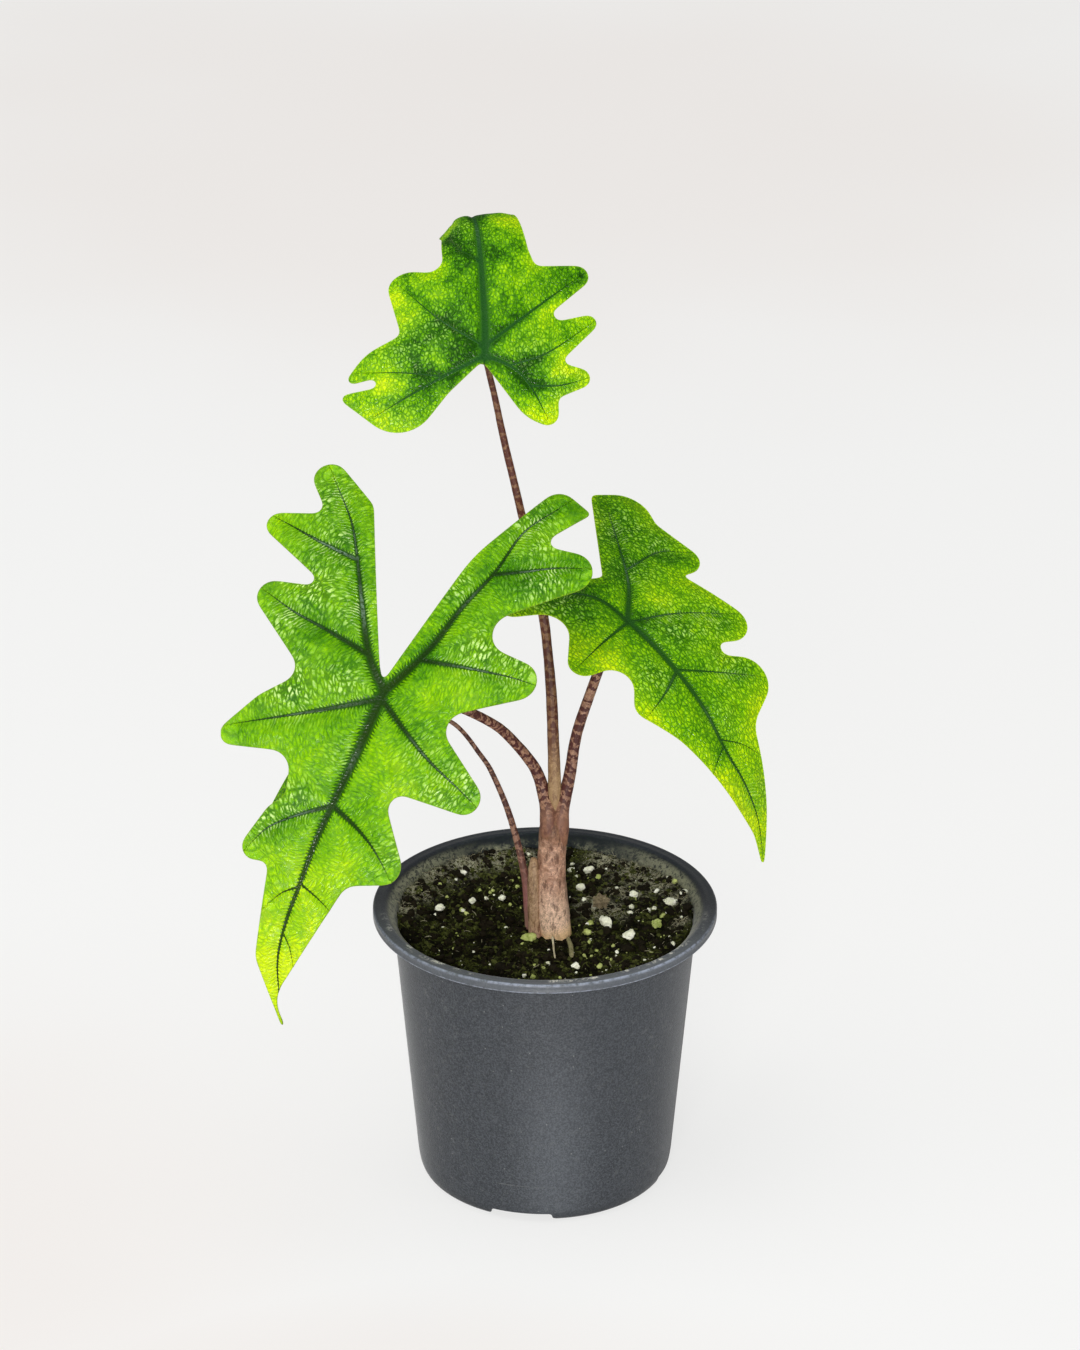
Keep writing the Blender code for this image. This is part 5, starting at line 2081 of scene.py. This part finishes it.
    def thicken(self, sheet: bpy.types.Object, thickness: np.ndarray) -> None:
        """Gives the sheet its thickness, an underside and both finishes.

        Args:
            sheet: the bent sheet.
            thickness: how thick it is at each point.
        """
        group = sheet.vertex_groups.new(name="thickness")
        for index, weight in enumerate(np.clip(thickness / self.thickness, 0.05, 1)):
            group.add([index], float(weight), "REPLACE")
        for skin in (self.form.skin, UNDER_SKIN):
            sheet.data.materials.append(skin.material())
        apply_modifier(
            sheet, "SOLIDIFY", thickness=self.thickness * MM, offset=-1.0, vertex_group=group.name,
            thickness_vertex_group=0.0, material_offset=1, material_offset_rim=0,
        )

    def build(self) -> None:
        """Builds the blade and hangs it in the frame."""
        form, line = self.form, self.outline()
        sheet = self.flat_sheet(line)
        plan = points_of(sheet)[:, :2]
        fit = VeinFit(*np.array([self.fit_vein(plan, vein) for vein in form.veins]).transpose(1, 0, 2))
        gaps = abs(fit.away) - fit.width
        own = (gaps.argmin(0), np.arange(len(plan)))
        away, width, share = abs(fit.away)[own], fit.width[own], fit.share[own]
        first, second = np.sort(gaps, axis=0)[:2]
        merge = np.clip((second - first) / self.merge_width, 0, 1)
        edge = np.concatenate([
            np.sqrt(((part[:, None, :] - line[None]) ** 2).sum(2)).min(1) for part in np.array_split(plan, 40)
        ])
        inner = smooth(edge / self.rim_width)
        quilting, grooves = self.relief(plan, away, width, merge)
        height = quilting * inner - grooves * np.clip(edge / 2, 0, 1) - self.sunk
        low, high = (np.array(corner) / MM for corner in self.room)
        places = self.surface(*plan.T) + height[:, None] * self.normals(plan)
        self.write_plans(sheet, plan, fit)
        move_points(sheet, np.clip(places, low + 0.02, high - 0.02))
        tone = form.ground_tone + self.spread(plan, form.patches).sum(0)
        tone += form.edge_tone * bell(edge, self.bright_width)
        tone -= form.vein_shadow * bell(away, self.shadow_width) * (1 - share) ** 0.6
        # Where highlights are painted on the blade.
        shine = self.spread(plan, form.shines).max(0)
        point_values(
            sheet, vein_width=width, rib_reach=fit.reach[own] * merge, edge=edge, tone=tone, shine=shine
        )
        sheet.data.flip_normals()
        rib = bell(away, width + 0.35) * (1 - 0.7 * share) * np.clip(width, 0.3, 1.0)
        self.thicken(sheet, self.lamina * (0.6 + 0.4 * inner) + (self.thickness - self.lamina) * rib)
        seat(sheet, form.name, "leaf", (), [form.solid], crease=80.0)


# Studio


@dataclass
class Studio:
    """A plain pale floor, soft lamps and the camera."""

    aim: tuple[float, float, float] = (-1.51, 0.0, 166.37)
    distance: float = 1600.0
    pitch: float = 25.05
    lens: float = 142.78
    pale: Rgb = tint(244, 244, 243)
    warm_shade: Rgb = tint(239, 235, 232)
    dim_patches: tuple = (  # ((x, y), (half width, half depth)) of the patches of painted shade on the floor
        ((-40.0, 950.0), (420.0, 330.0)), ((-210.0, -60.0), (165.0, 210.0)), ((-60.0, -130.0), (160.0, 60.0)),
    )
    lamps: tuple = (  # (name, place, aim, (width, height), watts, whether only a gloss shows it), in metres
        ("top_softbox", (-0.35, -0.25, 1.7), (0, 0, 0.15), (1.2, 1.2), 16.0, False),
        ("front_softbox", (-0.25, -2.3, 1.15), (0, 0, 0.12), (0.7, 0.7), 33.0, False),
        ("left_softbox", (-1.7, -0.6, 0.9), (0, 0, 0.15), (1.0, 1.0), 4.0, False),
        ("right_softbox", (1.8, -1.0, 0.5), (0, 0, 0.08), (0.8, 0.8), 6.0, False),
        ("leaf_sheen", (-1.1, -1.6, 1.25), (0, 0, 0.2), (0.35, 0.35), 8.0, True),
        ("pot_sheen", (0.02, -1.6, 0.10), (0, 0, 0.05), (0.12, 0.16), 22.0, True),
    )

    def camera(self) -> None:
        """Sets up the camera."""
        bpy.ops.object.camera_add()
        camera = bpy.context.object
        camera.name = "camera"
        camera.data.lens, camera.data.sensor_width = self.lens, 36.0
        camera.data.clip_start, camera.data.clip_end = 0.05, 50.0
        down = math.radians(self.pitch)
        back = Vector((0.0, -math.cos(down), math.sin(down)))
        camera.location = (Vector(self.aim) + back * self.distance) * MM
        camera.rotation_euler = (math.pi / 2 - down, 0.0, 0.0)
        bpy.context.scene.camera = camera

    def floor(self) -> None:
        """Lays the floor, whose paint has a few slightly darker, warmer patches of painted shade."""
        bpy.ops.mesh.primitive_plane_add(size=14.0, location=(0, 0, -0.0004))
        floor = bpy.context.object
        floor.name = "studio_floor"
        apply_place(floor)
        material = bpy.data.materials.new("studio_floor_paint")
        material.use_nodes = True
        nodes = material.node_tree.nodes
        bench = Bench(material.node_tree)
        place, warm_shade = bench.place(), 0.0
        for middle, size in self.dim_patches:
            away = bench.vector("DIVIDE", bench.vector("SUBTRACT", place, (*middle, 0.0)), (*size, 1.0))
            ragged = bench.vector("LENGTH", away, output="Value") + bench.cloud(place, 0.004, 2.0, 0.5) * 0.7
            warm_shade = bench.larger(warm_shade, bench.ease(ragged, 1.65, 0.75))
        colour = bench.coats(self.pale, (warm_shade * 0.9, self.warm_shade))
        path = bench.outs(bench.node("LightPath"))
        dimmed = bench.coats(colour, (path.is_glossy_ray * 0.65, (0.0, 0.0, 0.0)))
        paint = bench.fill(
            nodes["Principled BSDF"], Base_Color=dimmed, Roughness=0.9, Specular_IOR_Level=0.0
        )
        glow = bench.node("Emission", Color=colour, Strength=1.0)
        shaders = (Signal(bench, node.outputs[0]) for node in (paint, glow))
        mixed = bench.inline("MixShader", {}, (path.is_camera_ray * 0.80, *shaders))
        bench.fill(nodes["Material Output"], Surface=mixed)
        floor.data.materials.append(material)
        floor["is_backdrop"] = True

    def world(self) -> None:
        """Surrounds the scene with plain pale light, which is dimmer where a gloss mirrors it."""
        world = bpy.data.worlds.new("studio_air")
        bpy.context.scene.world = world
        world.use_nodes = True
        bench = Bench(world.node_tree)
        path = bench.outs(bench.node("LightPath"))
        strength = path.is_camera_ray * 0.60 + 0.40 - path.is_glossy_ray * 0.34
        bench.fill(world.node_tree.nodes["Background"], Color=self.pale, Strength=strength)

    def build(self) -> None:
        """Sets up the whole studio."""
        bpy.context.scene.view_settings.view_transform = "Standard"
        self.camera()
        self.floor()
        self.world()
        for name, place, aim, size, power, gloss in self.lamps:
            bpy.ops.object.light_add(type="AREA", location=place)
            lamp = bpy.context.object
            lamp.name = name
            lamp.data.shape, lamp.data.energy = "RECTANGLE", power
            lamp.data.size, lamp.data.size_y = size
            lamp.visible_diffuse, lamp.visible_glossy = not gloss, gloss
            lamp.rotation_euler = (Vector(aim) - Vector(place)).to_track_quat("-Z", "Y").to_euler()


def main() -> None:
    """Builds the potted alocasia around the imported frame."""
    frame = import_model()
    solid_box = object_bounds()
    Studio().build()
    NurseryPot().build()
    soil = PottingSoil()
    soil.build()
    LooseGrains(soil).build(frame["nodes"])
    for stalk in STALKS:
        stalk.build()
    for form in (FRONT_FORM, RIGHT_FORM, TOP_FORM, SMALL_FORM):
        LeafBlade(form, solid_box).build()


if __name__ == "__main__":
    main()
